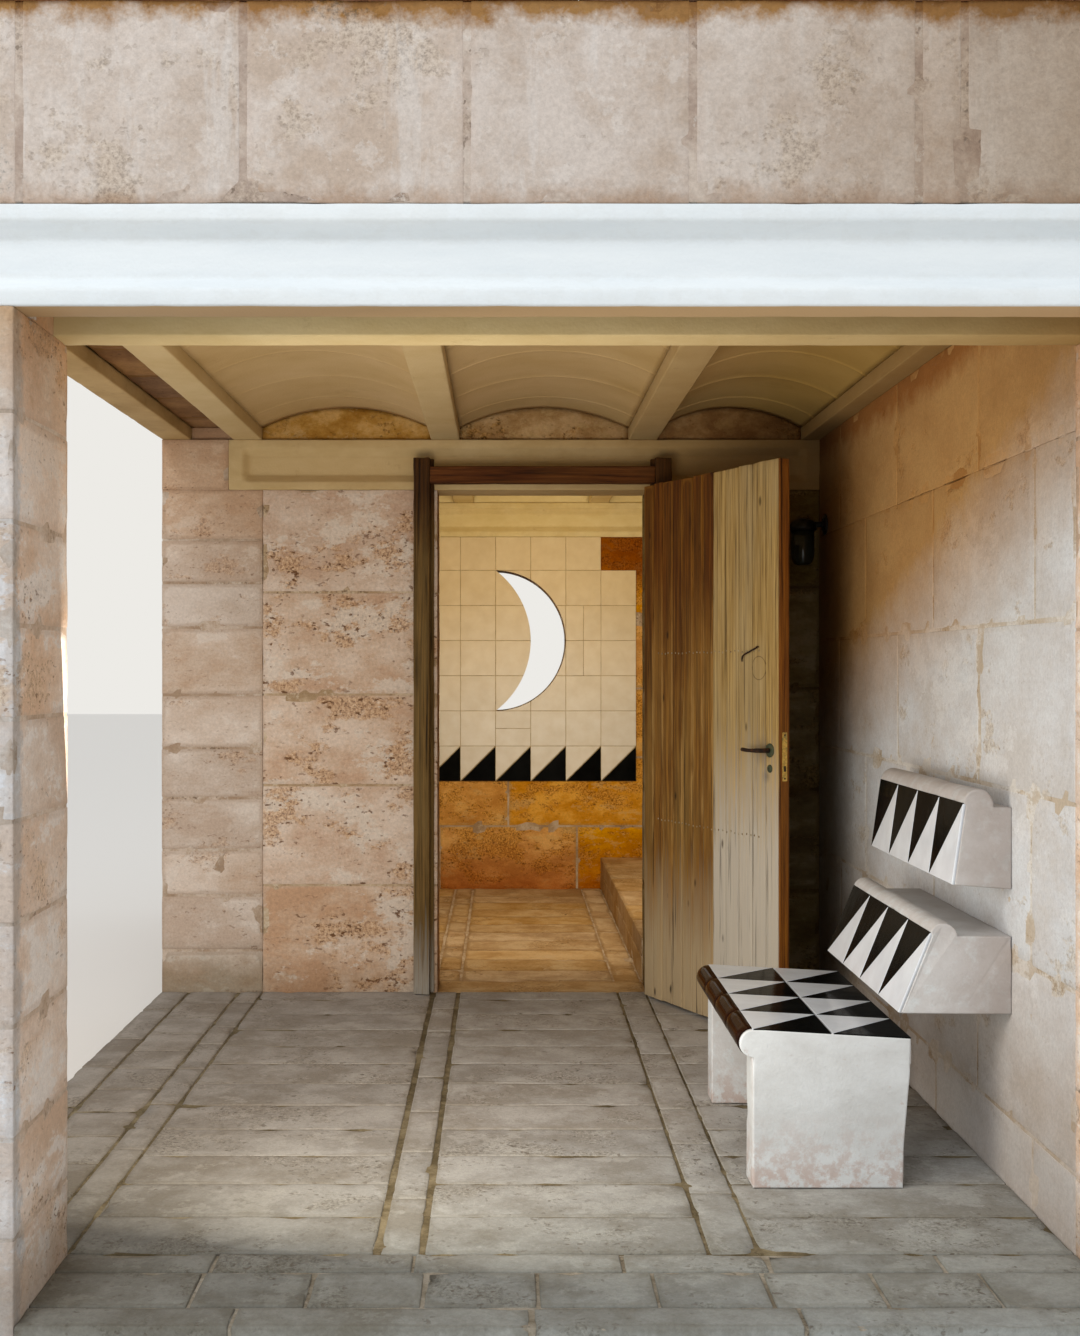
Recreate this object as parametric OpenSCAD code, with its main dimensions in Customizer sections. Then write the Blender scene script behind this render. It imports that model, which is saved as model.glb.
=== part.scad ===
// Moon gate entrance porch: a sandstone porch with a vaulted ceiling, a plank
// door, a vestibule whose tiled end wall has a crescent-moon opening, and a
// built-in bench. Millimetres, +Z up, +Y into the building.

/* [Plan] */
// Clear width between the left pillars and the right wall
room_w = 2205; // [1950:5:2600]
// Clear depth of the porch from the front pillars to the door wall
porch_d = 2620; // [2300:10:3200]
// Clear depth of the vestibule from the door wall to the moon wall
vestibule_d = 2540; // [1800:10:3200]
// Thickness of the door wall and of the moon wall
cross_wall_t = 200; // [200:5:260]
// Thickness of the right wall
side_wall_t = 200; // [160:5:300]
// Width of the pillars along the front
pillar_w = 400; // [360:5:480]
// Depth of each pillar
pillar_d = 360; // [320:5:440]
// Height of the floor above the ground
plinth_h = 150; // [80:5:300]

/* [Roof beams] */
// Height of the openings under the lintels
lintel_z = 1985; // [1975:5:2200]
// Height of the vestibule ceiling above the porch ceiling
vestibule_rise = 56; // [30:2:90]
// Height of every beam
beam_h = 200; // [180:5:240]
// Flange width of a lintel
lintel_w = 98; // [80:1:98]
// Height of a lintel flange edge
lintel_edge = 32; // [24:1:44]
// Web thickness of a lintel
lintel_web = 38; // [30:1:50]
// Length of a cross lintel that bears on the left wall
lintel_bearing = 135; // [100:5:200]
// Length of the solid block at each end of a lintel
lintel_block = 65; // [40:5:90]
// Flange width of a joist
joist_w = 114; // [90:1:120]
// Height of a joist flange edge
joist_edge = 50; // [36:1:60]
// Web thickness of a joist
joist_web = 44; // [34:1:60]
// Width of a joist bearing on the right wall
joist_bearing = 44; // [30:1:60]
// Distance from the pillar face back to the first joist
joist_setback = 5; // [0:1:20]
// Gap between the joists that meet over the door wall
joist_meet_gap = 4; // [2:1:20]
// Play round a joist end in the parapet
pocket_play = 2; // [1:0.5:5]
// Clear width of the first two vaults
vault_w = 670; // [560:5:700]
// Rise of the vaults
vault_rise = 80; // [40:2:100]
// Depth by which the arched infill walls stand back
tympanum_setback = 20; // [5:1:40]

/* [Roof] */
// Thickness of the roof screed
slab_t = 60; // [40:5:100]
// Height of the front parapet above its lintel
parapet_h = 395; // [340:5:500]
// Width of the kerb round the roof
kerb_w = 100; // [80:5:140]
// Thickness of the coping
coping_t = 35; // [20:1:50]
// Overhang of the coping
coping_lip = 10; // [4:1:30]

/* [Moon wall] */
// Tile pitch, joint included
tile_pitch = 204; // [180:1:220]
// Thickness of the tiling
tile_t = 12; // [8:1:20]
// Height of the lowest tile edge
tile_z = 623; // [560:1:700]
// Distance from the left wall to the middle line of the moon
moon_x = 906; // [700:1:1100]
// Height of the tiles below the lower tip of the moon
moon_rows = 2; // [1:1:2]
// Plain stone strip to the right of the tiles
bare_strip = 483; // [300:1:600]

/* [Doorway] */
// Distance from the left wall to the middle of the doorway
door_x = 1106; // [1000:1:1150]
// Clear width between the door posts
frame_w = 884; // [760:2:900]
// Width of a door post
post_w = 64; // [50:1:80]
// Depth of the door frame
frame_d = 65; // [62:1:90]
// Height of the door posts
post_h = 2105; // [2085:5:2190]
// Height of the underside of the head
head_z = 2005; // [1990:5:2010]
// Height of the head
head_h = 66; // [40:1:75]
// Width of the stop behind the leaf
stop_w = 15; // [10:1:20]
// Distance that the stone opening stands out behind each post
reveal = 27; // [20:1:34]

/* [Door leaf] */
// Thickness of the leaf
leaf_t = 42; // [36:1:46]
// Gap under the leaf
leaf_foot = 10; // [6:1:20]
// Gap above the leaf
leaf_head_gap = 16; // [5:1:20]
// Gap at the hinge edge
leaf_hinge_gap = 5; // [5:1:8]
// Gap at the lock edge
leaf_lock_gap = 7; // [7:1:12]
// Gap between the closed leaf and its stop
leaf_stop_gap = 5; // [5:1:8]
// Angle by which the leaf stands open
door_open = 116; // [0:1:128]
// Height of a ledge across the outer face
ledge_h = 100; // [70:5:140]
// Thickness of a ledge
ledge_t = 25; // [18:1:30]
// Distance of the ledge ends from the edges of the leaf
ledge_inset = 90; // [80:5:140]
// Height of the lower ledge
ledge_low_z = 700; // [500:10:800]
// Height of the upper ledge
ledge_high_z = 1338; // [1200:10:1500]

/* [Hinges and lock] */
// Radius of a hinge knuckle
knuckle_r = 8; // [7:0.5:9]
// Height of half a hinge
knuckle_h = 38; // [30:1:50]
// Radius of a hinge pin
pin_r = 4; // [3:0.5:5]
// Running clearance round pins and the spindle
pin_play = 0.3; // [0.2:0.05:0.5]
// Distance of the hinge axis from the faces
hinge_out = 10; // [9.5:0.5:12]
// Height of the lower hinge
hinge_low_z = 250; // [150:10:400]
// Height of the middle hinge
hinge_mid_z = 1000; // [860:10:1100]
// Height of the upper hinge
hinge_high_z = 1750; // [1600:10:1800]
// Length of a hinge plate
plate_l = 45; // [30:1:55]
// Thickness of a hinge plate
plate_t = 3; // [2.5:0.5:3]
// Distance of the spindle from the lock edge
backset = 55; // [50:1:60]
// Height of the spindle
spindle_z = 1000; // [950:5:1100]
// Radius of the spindle
spindle_r = 4.3; // [3.5:0.1:5]
// Radius of the lever neck
neck_r = 9; // [7:0.5:10]
// Distance from the leaf to the middle of a lever
lever_out = 45; // [38:1:50]
// Length of a lever
lever_l = 110; // [90:1:125]
// Radius of a lever
lever_r = 7.5; // [6:0.5:9]
// Radius of a handle rose
rose_r = 24; // [18:1:25]
// Thickness of a handle rose
rose_t = 5; // [3:0.5:6]
// Radius of a keyhole cover
cover_r = 14; // [10:1:16]
// Distance of the keyhole below the spindle
keyhole_drop = 62; // [52:1:70]
// Height of the lock plate
lock_plate_h = 165; // [145:5:200]
// Distance of the lock plate's foot below the spindle
lock_plate_drop = 102; // [94:1:120]
// Width of the lock plate
lock_plate_w = 20; // [16:1:24]
// Thickness of the lock plate
lock_plate_t = 2.5; // [2:0.5:4]
// Thickness of the lock case
lock_case_t = 14; // [10:1:15]
// Depth of the lock case
lock_case_d = 80; // [75:1:95]
// Distance of the lock case from the ends of its plate
lock_case_inset = 15; // [10:1:24]

/* [Bench] */
// Distance from the front face to the near end of the bench
bench_y = 760; // [500:10:1000]
// Length of the bench
bench_l = 800; // [700:4:900]
// Height of the seat at the nose
seat_h = 392; // [360:2:420]
// Fall of the seat towards the wall
seat_fall = 21; // [0:1:30]
// Thickness of the seat
seat_t = 70; // [56:2:84]
// Depth of the tiled seat
seat_d = 393; // [360:1:420]
// Gap between the seat and the wall
seat_gap = 246; // [200:2:280]
// Thickness of each bench support
support_t = 90; // [70:5:120]
// Distance that the supports stand back from the rear of the seat
support_setback = 19; // [0:1:40]
// Radius of the cap on the lower backrest
low_cap_r = 35; // [28:1:40]
// Distance from the wall to the foot of the lower backrest
low_out = 281; // [240:1:300]
// Height of the foot of the lower backrest
low_z = 432; // [420:1:460]
// Length of the tiled face of the lower backrest
low_face = 215; // [190:1:230]
// Lean of the lower backrest
low_lean = 22; // [10:1:28]
// Height of the shelf behind the lower cap
low_shelf_z = 620; // [600:1:630]
// Radius of the cap on the upper backrest
high_cap_r = 38; // [28:1:42]
// Distance from the wall to the foot of the upper backrest
high_out = 149; // [130:1:170]
// Height of the foot of the upper backrest
high_z = 746; // [720:1:780]
// Length of the tiled face of the upper backrest
high_face = 205; // [180:1:220]
// Lean of the upper backrest
high_lean = 8; // [4:1:12]
// Height of the shelf behind the upper cap
high_shelf_z = 937; // [920:1:945]

/* [Vestibule ledge] */
// Height of the low stone ledge
ledge_seat_h = 180; // [120:5:300]
// Width of the low stone ledge
ledge_seat_w = 690; // [500:5:690]

/* [Wall lamp] */
// Height of the middle of the lamp
lamp_z = 1770; // [1600:10:1850]
// Distance of the lamp from the door wall
lamp_back = 110; // [80:5:200]
// Distance of the lamp from the right wall
lamp_out = 90; // [75:1:120]
// Radius of the lamp cap
lamp_cap_r = 54; // [50:1:58]
// Height of the lamp cap
lamp_cap_h = 46; // [40:1:60]
// Height of the straight rim of the lamp cap
lamp_rim_h = 12; // [6:1:16]
// Radius of the crown on top of the lamp cap
lamp_crown_r = 18; // [14:1:26]
// Radius of the lamp arm
lamp_arm_r = 11; // [8:1:13]
// Radius of the lamp wall plate
lamp_plate_r = 40; // [30:1:45]
// Thickness of the lamp wall plate
lamp_plate_t = 8; // [5:1:12]
// Radius of the glass jar
jar_r = 46; // [38:1:48]
// Height of the glass jar
jar_h = 135; // [110:1:150]
// Wall of the glass jar
jar_wall = 4; // [3:0.5:6]
// Radius of the flat foot of the jar
jar_foot_r = 20; // [12:1:24]

/* [Hidden] */
$fn = 64;

// Plan lines, measured from the inner face of the left pillars and the front face
left_x = -pillar_w;
right_x = room_w + pillar_w;
wall_right_x = room_w + side_wall_t;
door_wall_y = pillar_d + porch_d;
vestibule_y = door_wall_y + cross_wall_t;
moon_wall_y = vestibule_y + vestibule_d;
rear_y = moon_wall_y + cross_wall_t;
back_pillar_end = door_wall_y + pillar_d;

// Levels above the porch floor
joist_z = lintel_z + beam_h;
roof_z = joist_z + beam_h;
parapet_z = joist_z + parapet_h;
moon_lintel_z = lintel_z + vestibule_rise;
vestibule_joist_z = joist_z + vestibule_rise;
vestibule_roof_z = roof_z + vestibule_rise;

// Middle of the whole footprint, coping included
centre_x = (left_x + right_x) / 2;
centre_y = (rear_y - coping_lip) / 2;

// Joist middle lines: the left edge joist, then the four that carry vaults
edge_joist_x = left_x + joist_w / 2;
joist_1_x = -joist_setback - joist_w / 2;
joist_2_x = joist_1_x + joist_w + vault_w;
joist_3_x = joist_2_x + joist_w + vault_w;
joist_4_x = room_w + joist_bearing - joist_w / 2;
joist_xs = [joist_1_x, joist_2_x, joist_3_x, joist_4_x];
joist_start = pillar_d - lintel_w;
door_wall_mid = door_wall_y + cross_wall_t / 2;

// Crescent: the outer edge is two tiles in radius, the inner arc has a rise of one tile
moon_r = 2 * tile_pitch;
moon_sagitta = tile_pitch;
moon_inner_r = (moon_r * moon_r + moon_sagitta * moon_sagitta) / (2 * moon_sagitta);
moon_z = tile_z + moon_rows * tile_pitch + moon_r;
tile_w = room_w - bare_strip;
cut_past = 20;

// Door leaf in its closed place, and its hinge axis
post_face_y = door_wall_y - frame_d;
clear_left = door_x - frame_w / 2;
clear_right = door_x + frame_w / 2;
leaf_left = clear_left + leaf_lock_gap;
leaf_right = clear_right - leaf_hinge_gap;
leaf_top = head_z - leaf_head_gap;
leaf_back_y = post_face_y + leaf_t;
stop_y = leaf_back_y + leaf_stop_gap;
hinge_x = (leaf_right + clear_right) / 2;
hinge_y = post_face_y - hinge_out;
hinge_zs = [hinge_low_z, hinge_mid_z, hinge_high_z];
spindle_x = leaf_left + backset;
plate_seat = hinge_out - plate_t;

// Bench lines
seat_rear_x = room_w - seat_gap;
seat_front_x = seat_rear_x - seat_d;
nose_r = seat_t / 2;
bench_end = bench_y + bench_l;
lamp_x = room_w - lamp_out;
lamp_y = door_wall_y - lamp_back;
lamp_top = lamp_z + (jar_h + lamp_cap_h) / 2;
lamp_cap_z = lamp_top - lamp_cap_h;

// Moves the plan lines to the middle of the footprint and the ground to zero
module placed() {
  translate([-centre_x, -centre_y, plinth_h])
    children();
}

// A box from its low corner to its high corner
module block(low, high) {
  translate(low)
    cube(high - low);
}

// Beam section, its middle line at x = 0 and its underside at y = 0
function beam_points(w, edge, web) =
  let (cove = (w - web) / 2, top = beam_h)
  [
    [-w / 2, 0], [w / 2, 0], [w / 2, edge], [web / 2, edge + cove],
    [web / 2, top - edge - cove], [w / 2, top - edge], [w / 2, top],
    [-w / 2, top], [-w / 2, top - edge], [-web / 2, top - edge - cove],
    [-web / 2, edge + cove], [-w / 2, edge]
  ];

module joist_section() {
  polygon(beam_points(joist_w, joist_edge, joist_web));
}

// A joist along Y from y0 to y1 with its underside at z
module joist(x, y0, y1, z) {
  translate([x, y1, z])
    rotate([90, 0, 0])
      linear_extrude(y1 - y0)
        joist_section();
}

// A lintel along X from x0 to x1, its front face at y and its underside at z, solid at both ends
module lintel(x0, x1, y, z) {
  translate([x0, y + lintel_w / 2, z])
    rotate([90, 0, 90])
      linear_extrude(x1 - x0)
        polygon(beam_points(lintel_w, lintel_edge, lintel_web));
  for (x = [x0, x1 - lintel_block])
    block([x, y, z], [x + lintel_block, y + lintel_w, z + beam_h]);
}

// The space between two joists, as deep as the joists
module bay_section(xa, xb) {
  difference() {
    translate([xa, 0])
      square([xb - xa, beam_h]);
    translate([xa, 0])
      joist_section();
    translate([xb, 0])
      joist_section();
  }
}

// The space between two joists with a shallow arch cut out below
module vault_section(xa, xb) {
  span = xb - xa - joist_w;
  arch_r = (span * span / 4 + vault_rise * vault_rise) / (2 * vault_rise);
  difference() {
    bay_section(xa, xb);
    translate([xa + joist_w / 2, 0])
      square([span, joist_edge]);
    intersection() {
      translate([(xa + xb) / 2, joist_edge + vault_rise - arch_r])
        circle(arch_r, $fn = 96);
      translate([xa + joist_w / 2, 0])
        square([span, beam_h]);
    }
  }
}

// Masonry between two joists, along Y from y0 to y1, with the joists' underside at z
module along(y0, y1, z) {
  translate([0, y1, z])
    rotate([90, 0, 0])
      linear_extrude(y1 - y0)
        children();
}

// A front pillar: its head stands up between the two front lintels
module front_pillar(x) {
  block([x, 0, -plinth_h], [x + pillar_w, pillar_d, lintel_z]);
  block([x, lintel_w, lintel_z - 1], [x + pillar_w, pillar_d - lintel_w, joist_z]);
}

// The pair of lintels in a cross wall whose front face is at y
module lintel_pair(y, z) {
  lintel(-lintel_bearing, room_w, y, z);
  lintel(-lintel_bearing, room_w, y + cross_wall_t - lintel_w, z);
}

// Turns the closed leaf about its hinge axis to the angle at which it stands open
module opened() {
  translate([hinge_x, hinge_y, 0])
    rotate([0, 0, door_open])
      translate([-hinge_x, -hinge_y, 0])
        children();
}

// A cylinder along Y from y0 to y1
module rod_y(x, y0, y1, z, r) {
  translate([x, y1, z])
    rotate([90, 0, 0])
      cylinder(h = y1 - y0, r = r);
}

module crescent() {
  difference() {
    circle(moon_r, $fn = 96);
    translate([moon_sagitta - moon_inner_r, 0])
      circle(moon_inner_r, $fn = 96);
  }
}

// The crescent as a cutter through the moon wall and its tiles
module crescent_cut() {
  translate([moon_x, rear_y + cut_past, moon_z])
    rotate([90, 0, 0])
      linear_extrude(cross_wall_t + tile_t + 2 * cut_past)
        crescent();
}

module threshold_course() {
  color("#a99a86")
    placed()
      block([0, 0, -plinth_h], [room_w, pillar_d, 0]);
}

module porch_floor() {
  color("#a3937e")
    placed()
      block([left_x, pillar_d, -plinth_h], [room_w, door_wall_y, 0]);
}

// The vestibule floor runs out through the doorway to the porch floor
module vestibule_floor() {
  color("#a3907a")
    placed() {
      block([0, vestibule_y, -plinth_h], [room_w, moon_wall_y, 0]);
      block([clear_left + reveal, door_wall_y, -plinth_h], [clear_right - reveal, vestibule_y + 1, 0]);
    }
}

module front_left_pillar() {
  color("#c4a890")
    placed()
      front_pillar(left_x);
}

module front_right_pillar() {
  color("#c4a890")
    placed()
      front_pillar(room_w);
}

// The back pillar has a pocket in its head for the door lintels and a low seat for the edge infill
module back_left_pillar() {
  color("#bfa188")
    placed() {
      difference() {
        block([left_x, door_wall_y, -plinth_h], [0, back_pillar_end, joist_z]);
        block([-lintel_bearing, door_wall_y - 1, lintel_z], [1, vestibule_y, joist_z + 1]);
      }
      block(
        [edge_joist_x + joist_w / 2, door_wall_y + tympanum_setback, joist_z],
        [joist_1_x - joist_w / 2, door_wall_mid, joist_z + joist_edge]
      );
    }
}

// The right wall steps up with the roof and has a rebate along its inner top edge for the last joist
module right_wall() {
  rebate_x = room_w + joist_bearing;
  above = vestibule_roof_z + 1;
  color("#c2ab95")
    placed()
      difference() {
        block([room_w, pillar_d, -plinth_h], [wall_right_x, rear_y, vestibule_roof_z]);
        block([room_w - 1, pillar_d - 1, joist_z], [rebate_x, door_wall_mid, above]);
        block([room_w - 1, pillar_d - 1, roof_z], [wall_right_x + 1, door_wall_mid, above]);
        block([room_w - 1, door_wall_mid - 1, vestibule_joist_z], [rebate_x, rear_y + 1, above]);
      }
}

// The vestibule's left wall runs on over the back of the back pillar
module vestibule_left_wall() {
  above = vestibule_roof_z + 1;
  color("#bfa68e")
    placed()
      difference() {
        union() {
          block([left_x, back_pillar_end, -plinth_h], [0, rear_y, vestibule_roof_z]);
          block([left_x, door_wall_mid, joist_z], [0, back_pillar_end + 1, vestibule_roof_z]);
        }
        block([joist_1_x - joist_w / 2, door_wall_mid - 1, vestibule_joist_z], [1, rear_y + 1, above]);
        block([-lintel_bearing, moon_wall_y, moon_lintel_z], [1, rear_y + 1, vestibule_joist_z + 1]);
      }
}

module door_wall_left() {
  color("#bd9c80")
    placed()
      block([0, door_wall_y, -plinth_h], [clear_left + reveal, vestibule_y, lintel_z]);
}

module door_wall_right() {
  color("#bd9c80")
    placed()
      block([clear_right - reveal, door_wall_y, -plinth_h], [room_w, vestibule_y, lintel_z]);
}

module moon_wall() {
  color("#a97f56")
    placed()
      difference() {
        block([0, moon_wall_y, -plinth_h], [room_w, rear_y, moon_lintel_z]);
        crescent_cut();
      }
}

// The tile is lost at the upper right corner
module moon_tile_panel() {
  color("#d2be96")
    placed()
      difference() {
        block([0, moon_wall_y - tile_t, tile_z], [tile_w, moon_wall_y, moon_lintel_z]);
        block(
          [tile_w - tile_pitch, moon_wall_y - tile_t - 1, moon_z + moon_r],
          [tile_w + 1, moon_wall_y + 1, moon_lintel_z + 1]
        );
        crescent_cut();
      }
}

module front_lintel() {
  color("#e4eaec")
    placed()
      lintel(left_x, right_x, 0, lintel_z);
}

module inner_lintel() {
  color("#c9b48e")
    placed()
      lintel(left_x, right_x, pillar_d - lintel_w, lintel_z);
}

module door_lintels() {
  color("#cdb48c")
    placed()
      lintel_pair(door_wall_y, lintel_z);
}

module moon_lintels() {
  color("#cdb48c")
    placed()
      lintel_pair(moon_wall_y, moon_lintel_z);
}

module left_edge_joist() {
  color("#c4ae8c")
    placed()
      joist(edge_joist_x, joist_start, door_wall_mid - joist_meet_gap / 2, joist_z);
}

module porch_joists() {
  color("#c4ae8c")
    placed()
      for (x = joist_xs)
        joist(x, joist_start, door_wall_mid - joist_meet_gap / 2, joist_z);
}

module vestibule_joists() {
  color("#c4ae8c")
    placed()
      for (x = joist_xs)
        joist(x, door_wall_mid + joist_meet_gap / 2, rear_y, vestibule_joist_z);
}

// Vault number i of the porch, with its level fill
module porch_vault(i) {
  color("#bda885")
    placed()
      along(pillar_d, door_wall_y + tympanum_setback, joist_z)
        vault_section(joist_xs[i], joist_xs[i + 1]);
}

module vestibule_vaults() {
  color("#bda885")
    placed()
      for (i = [0:2])
        along(vestibule_y, moon_wall_y + tympanum_setback, vestibule_joist_z)
          vault_section(joist_xs[i], joist_xs[i + 1]);
}

// Flat infill between the edge joist and the first joist
module edge_infill() {
  color("#8f6a45")
    placed()
      along(pillar_d, door_wall_mid, joist_z)
        difference() {
          bay_section(edge_joist_x, joist_1_x);
          translate([edge_joist_x, 0])
            square([joist_1_x - edge_joist_x, joist_edge]);
        }
}

// Infill between the joists over a cross wall
module infill_row(y0, y1, z) {
  for (i = [0:2])
    along(y0, y1, z)
      bay_section(joist_xs[i], joist_xs[i + 1]);
}

// Infill walls over the door and the moon: over the door they step up on a course of stone
module tympana() {
  color("#9a6f44")
    placed() {
      infill_row(door_wall_y + tympanum_setback, door_wall_mid, joist_z);
      infill_row(door_wall_mid, vestibule_y, vestibule_joist_z);
      block([0, door_wall_mid, joist_z], [room_w, vestibule_y, vestibule_joist_z]);
      infill_row(moon_wall_y + tympanum_setback, rear_y, vestibule_joist_z);
    }
}

module roof_slab() {
  x0 = left_x + kerb_w;
  x1 = wall_right_x - kerb_w;
  color("#a89885")
    placed() {
      block([x0, pillar_d, roof_z], [x1, door_wall_mid, roof_z + slab_t]);
      block([x0, door_wall_mid, vestibule_roof_z], [x1, rear_y - kerb_w, vestibule_roof_z + slab_t]);
    }
}

// The parapet stands on both front lintels and takes the joist ends in pockets
module front_parapet() {
  color("#c6ad97")
    placed()
      difference() {
        block([left_x, 0, joist_z], [right_x, pillar_d, parapet_z]);
        for (x = concat([edge_joist_x], joist_xs))
          block(
            [x - joist_w / 2 - pocket_play, joist_start - pocket_play, joist_z - 1],
            [x + joist_w / 2 + pocket_play, pillar_d + 1, roof_z + pocket_play]
          );
      }
}

module front_coping() {
  color("#9c6a4a")
    placed()
      block(
        [left_x - coping_lip, -coping_lip, parapet_z],
        [right_x + coping_lip, pillar_d + coping_lip, parapet_z + coping_t]
      );
}

// The kerb runs round the left, rear and right edges of the roof
module roof_kerb() {
  color("#bda790")
    placed()
      difference() {
        block([left_x, pillar_d, roof_z], [wall_right_x, rear_y, parapet_z]);
        block(
          [left_x + kerb_w, pillar_d - 1, roof_z - 1],
          [wall_right_x - kerb_w, rear_y - kerb_w, parapet_z + 1]
        );
        block([left_x - 1, door_wall_mid, roof_z - 1], [wall_right_x + 1, rear_y + 1, vestibule_roof_z]);
      }
}

// Post section in plan: side is 1 for the left post and -1 for the right
module door_post(face_x, side) {
  linear_extrude(post_h)
    polygon([
      [face_x, post_face_y], [face_x, stop_y], [face_x + side * stop_w, stop_y],
      [face_x + side * stop_w, door_wall_y], [face_x - side * post_w, door_wall_y],
      [face_x - side * post_w, post_face_y]
    ]);
}

module door_post_left() {
  color("#6e4a31")
    placed()
      door_post(clear_left, 1);
}

module door_post_right() {
  color("#6e4a31")
    placed()
      door_post(clear_right, -1);
}

// The head lies between the posts and their stops
module door_head() {
  color("#5f3f2a")
    placed() {
      block([clear_left, post_face_y, head_z], [clear_right, stop_y, head_z + head_h]);
      block(
        [clear_left + stop_w, stop_y - 1, head_z],
        [clear_right - stop_w, door_wall_y, head_z + head_h]
      );
    }
}

// The frame half of a hinge: knuckle, pin and plate
module hinge_pin(z) {
  translate([hinge_x, hinge_y, z]) {
    cylinder(h = knuckle_h, r = knuckle_r);
    cylinder(h = 2 * knuckle_h, r = pin_r);
    translate([0, plate_seat, 0])
      cube([plate_l, plate_t, knuckle_h]);
  }
}

module hinge_pins() {
  color("#4a4038")
    placed()
      for (z = hinge_zs)
        hinge_pin(z);
}

// The leaf half of a hinge: bored knuckle and plate
module hinge_knuckle(z) {
  translate([hinge_x, hinge_y, z + knuckle_h + pin_play])
    difference() {
      union() {
        cylinder(h = knuckle_h, r = knuckle_r);
        translate([-plate_l, plate_seat, 0])
          cube([plate_l, plate_t, knuckle_h]);
      }
      translate([0, 0, -1])
        cylinder(h = knuckle_h + 2, r = pin_r + pin_play);
    }
}

module hinge_knuckles() {
  color("#4a4038")
    placed()
      opened()
        for (z = hinge_zs)
          hinge_knuckle(z);
}

// The lock plate and the lock case, as a solid or as the mortise for them
module lock_body() {
  leaf_mid = post_face_y + leaf_t / 2;
  plate_low = spindle_z - lock_plate_drop;
  plate_high = plate_low + lock_plate_h;
  block(
    [leaf_left, leaf_mid - lock_plate_w / 2, plate_low],
    [leaf_left + lock_plate_t, leaf_mid + lock_plate_w / 2, plate_high]
  );
  block(
    [leaf_left, leaf_mid - lock_case_t / 2, plate_low + lock_case_inset],
    [leaf_left + lock_case_d, leaf_mid + lock_case_t / 2, plate_high - lock_case_inset]
  );
}

module spindle_bore() {
  rod_y(spindle_x, post_face_y - lever_out, leaf_back_y + lever_out, spindle_z, spindle_r + pin_play);
}

module door_leaf() {
  color("#8a6b4c")
    placed()
      opened()
        difference() {
          block([leaf_left, post_face_y, leaf_foot], [leaf_right, leaf_back_y, leaf_top]);
          lock_body();
          spindle_bore();
        }
}

module door_ledges() {
  color("#6b5038")
    placed()
      opened()
        for (z = [ledge_low_z, ledge_high_z])
          block(
            [leaf_left + ledge_inset, post_face_y - ledge_t, z - ledge_h / 2],
            [leaf_right - ledge_inset, post_face_y, z + ledge_h / 2]
          );
}

// The mortise lock, two handle roses and two keyhole covers
module door_lock() {
  color("#7d7146")
    placed()
      opened() {
        difference() {
          lock_body();
          spindle_bore();
        }
        for (y = [post_face_y - rose_t, leaf_back_y])
          difference() {
            rod_y(spindle_x, y, y + rose_t, spindle_z, rose_r);
            spindle_bore();
          }
        for (y = [post_face_y - rose_t, leaf_back_y])
          rod_y(spindle_x, y, y + rose_t, spindle_z - keyhole_drop, cover_r);
      }
}

// A lever at y with its neck reaching to the rose
module lever(y, neck_from, neck_to) {
  rod_y(spindle_x, neck_from, neck_to, spindle_z, neck_r);
  translate([spindle_x, y, spindle_z])
    sphere(r = neck_r);
  translate([spindle_x, y, spindle_z])
    rotate([0, 90, 0])
      cylinder(h = lever_l, r = lever_r);
  translate([spindle_x + lever_l, y, spindle_z])
    sphere(r = neck_r);
}

module door_handles() {
  outer_y = post_face_y - lever_out;
  inner_y = leaf_back_y + lever_out;
  rose_gap = rose_t + pin_play;
  color("#8b7d4c")
    placed()
      opened() {
        rod_y(spindle_x, outer_y, inner_y, spindle_z, spindle_r);
        lever(outer_y, outer_y, post_face_y - rose_gap);
        lever(inner_y, leaf_back_y + rose_gap, inner_y);
      }
}

// The bench is drawn as sections in X and Z, carried along its length
module bench_length(y0, y1) {
  translate([0, y1, 0])
    rotate([90, 0, 0])
      linear_extrude(y1 - y0)
        children();
}

module bench_seat() {
  color("#e3ded6")
    placed()
      bench_length(bench_y, bench_end)
        polygon([
          [seat_front_x, seat_h - seat_t], [seat_rear_x, seat_h - seat_fall - seat_t],
          [seat_rear_x, seat_h - seat_fall], [seat_front_x, seat_h]
        ]);
}

module bench_nose() {
  color("#2e2019")
    placed()
      bench_length(bench_y, bench_end)
        difference() {
          translate([seat_front_x, seat_h - nose_r])
            circle(nose_r);
          translate([seat_front_x, seat_h - seat_t - 1])
            square([nose_r + 1, seat_t + 2]);
        }
}

module bench_supports() {
  foot_rear = seat_rear_x - support_setback;
  fall = seat_fall * (foot_rear - seat_front_x) / seat_d;
  color("#d9cfc4")
    placed()
      for (y = [bench_y, bench_end - support_t])
        bench_length(y, y + support_t)
          polygon([
            [seat_front_x, 0], [foot_rear, 0],
            [foot_rear, seat_h - seat_t - fall], [seat_front_x, seat_h - seat_t]
          ]);
}

// Backrest section: a leaning tiled face, a round cap and a shelf back to the wall
module backrest_section(out, z, face, lean, cap_r, shelf_z, root_z) {
  foot_x = room_w - out;
  tangent = [foot_x + face * sin(lean), z + face * cos(lean)];
  cap = tangent + cap_r * [cos(lean), -sin(lean)];
  polygon([
    [foot_x, z], [room_w, root_z], [room_w, shelf_z],
    [cap[0], shelf_z], cap, tangent
  ]);
  translate(cap)
    circle(cap_r);
}

module bench_back_lower() {
  color("#e0dad2")
    placed()
      bench_length(bench_y, bench_end)
        backrest_section(low_out, low_z, low_face, low_lean, low_cap_r, low_shelf_z, low_z - 5);
}

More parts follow.
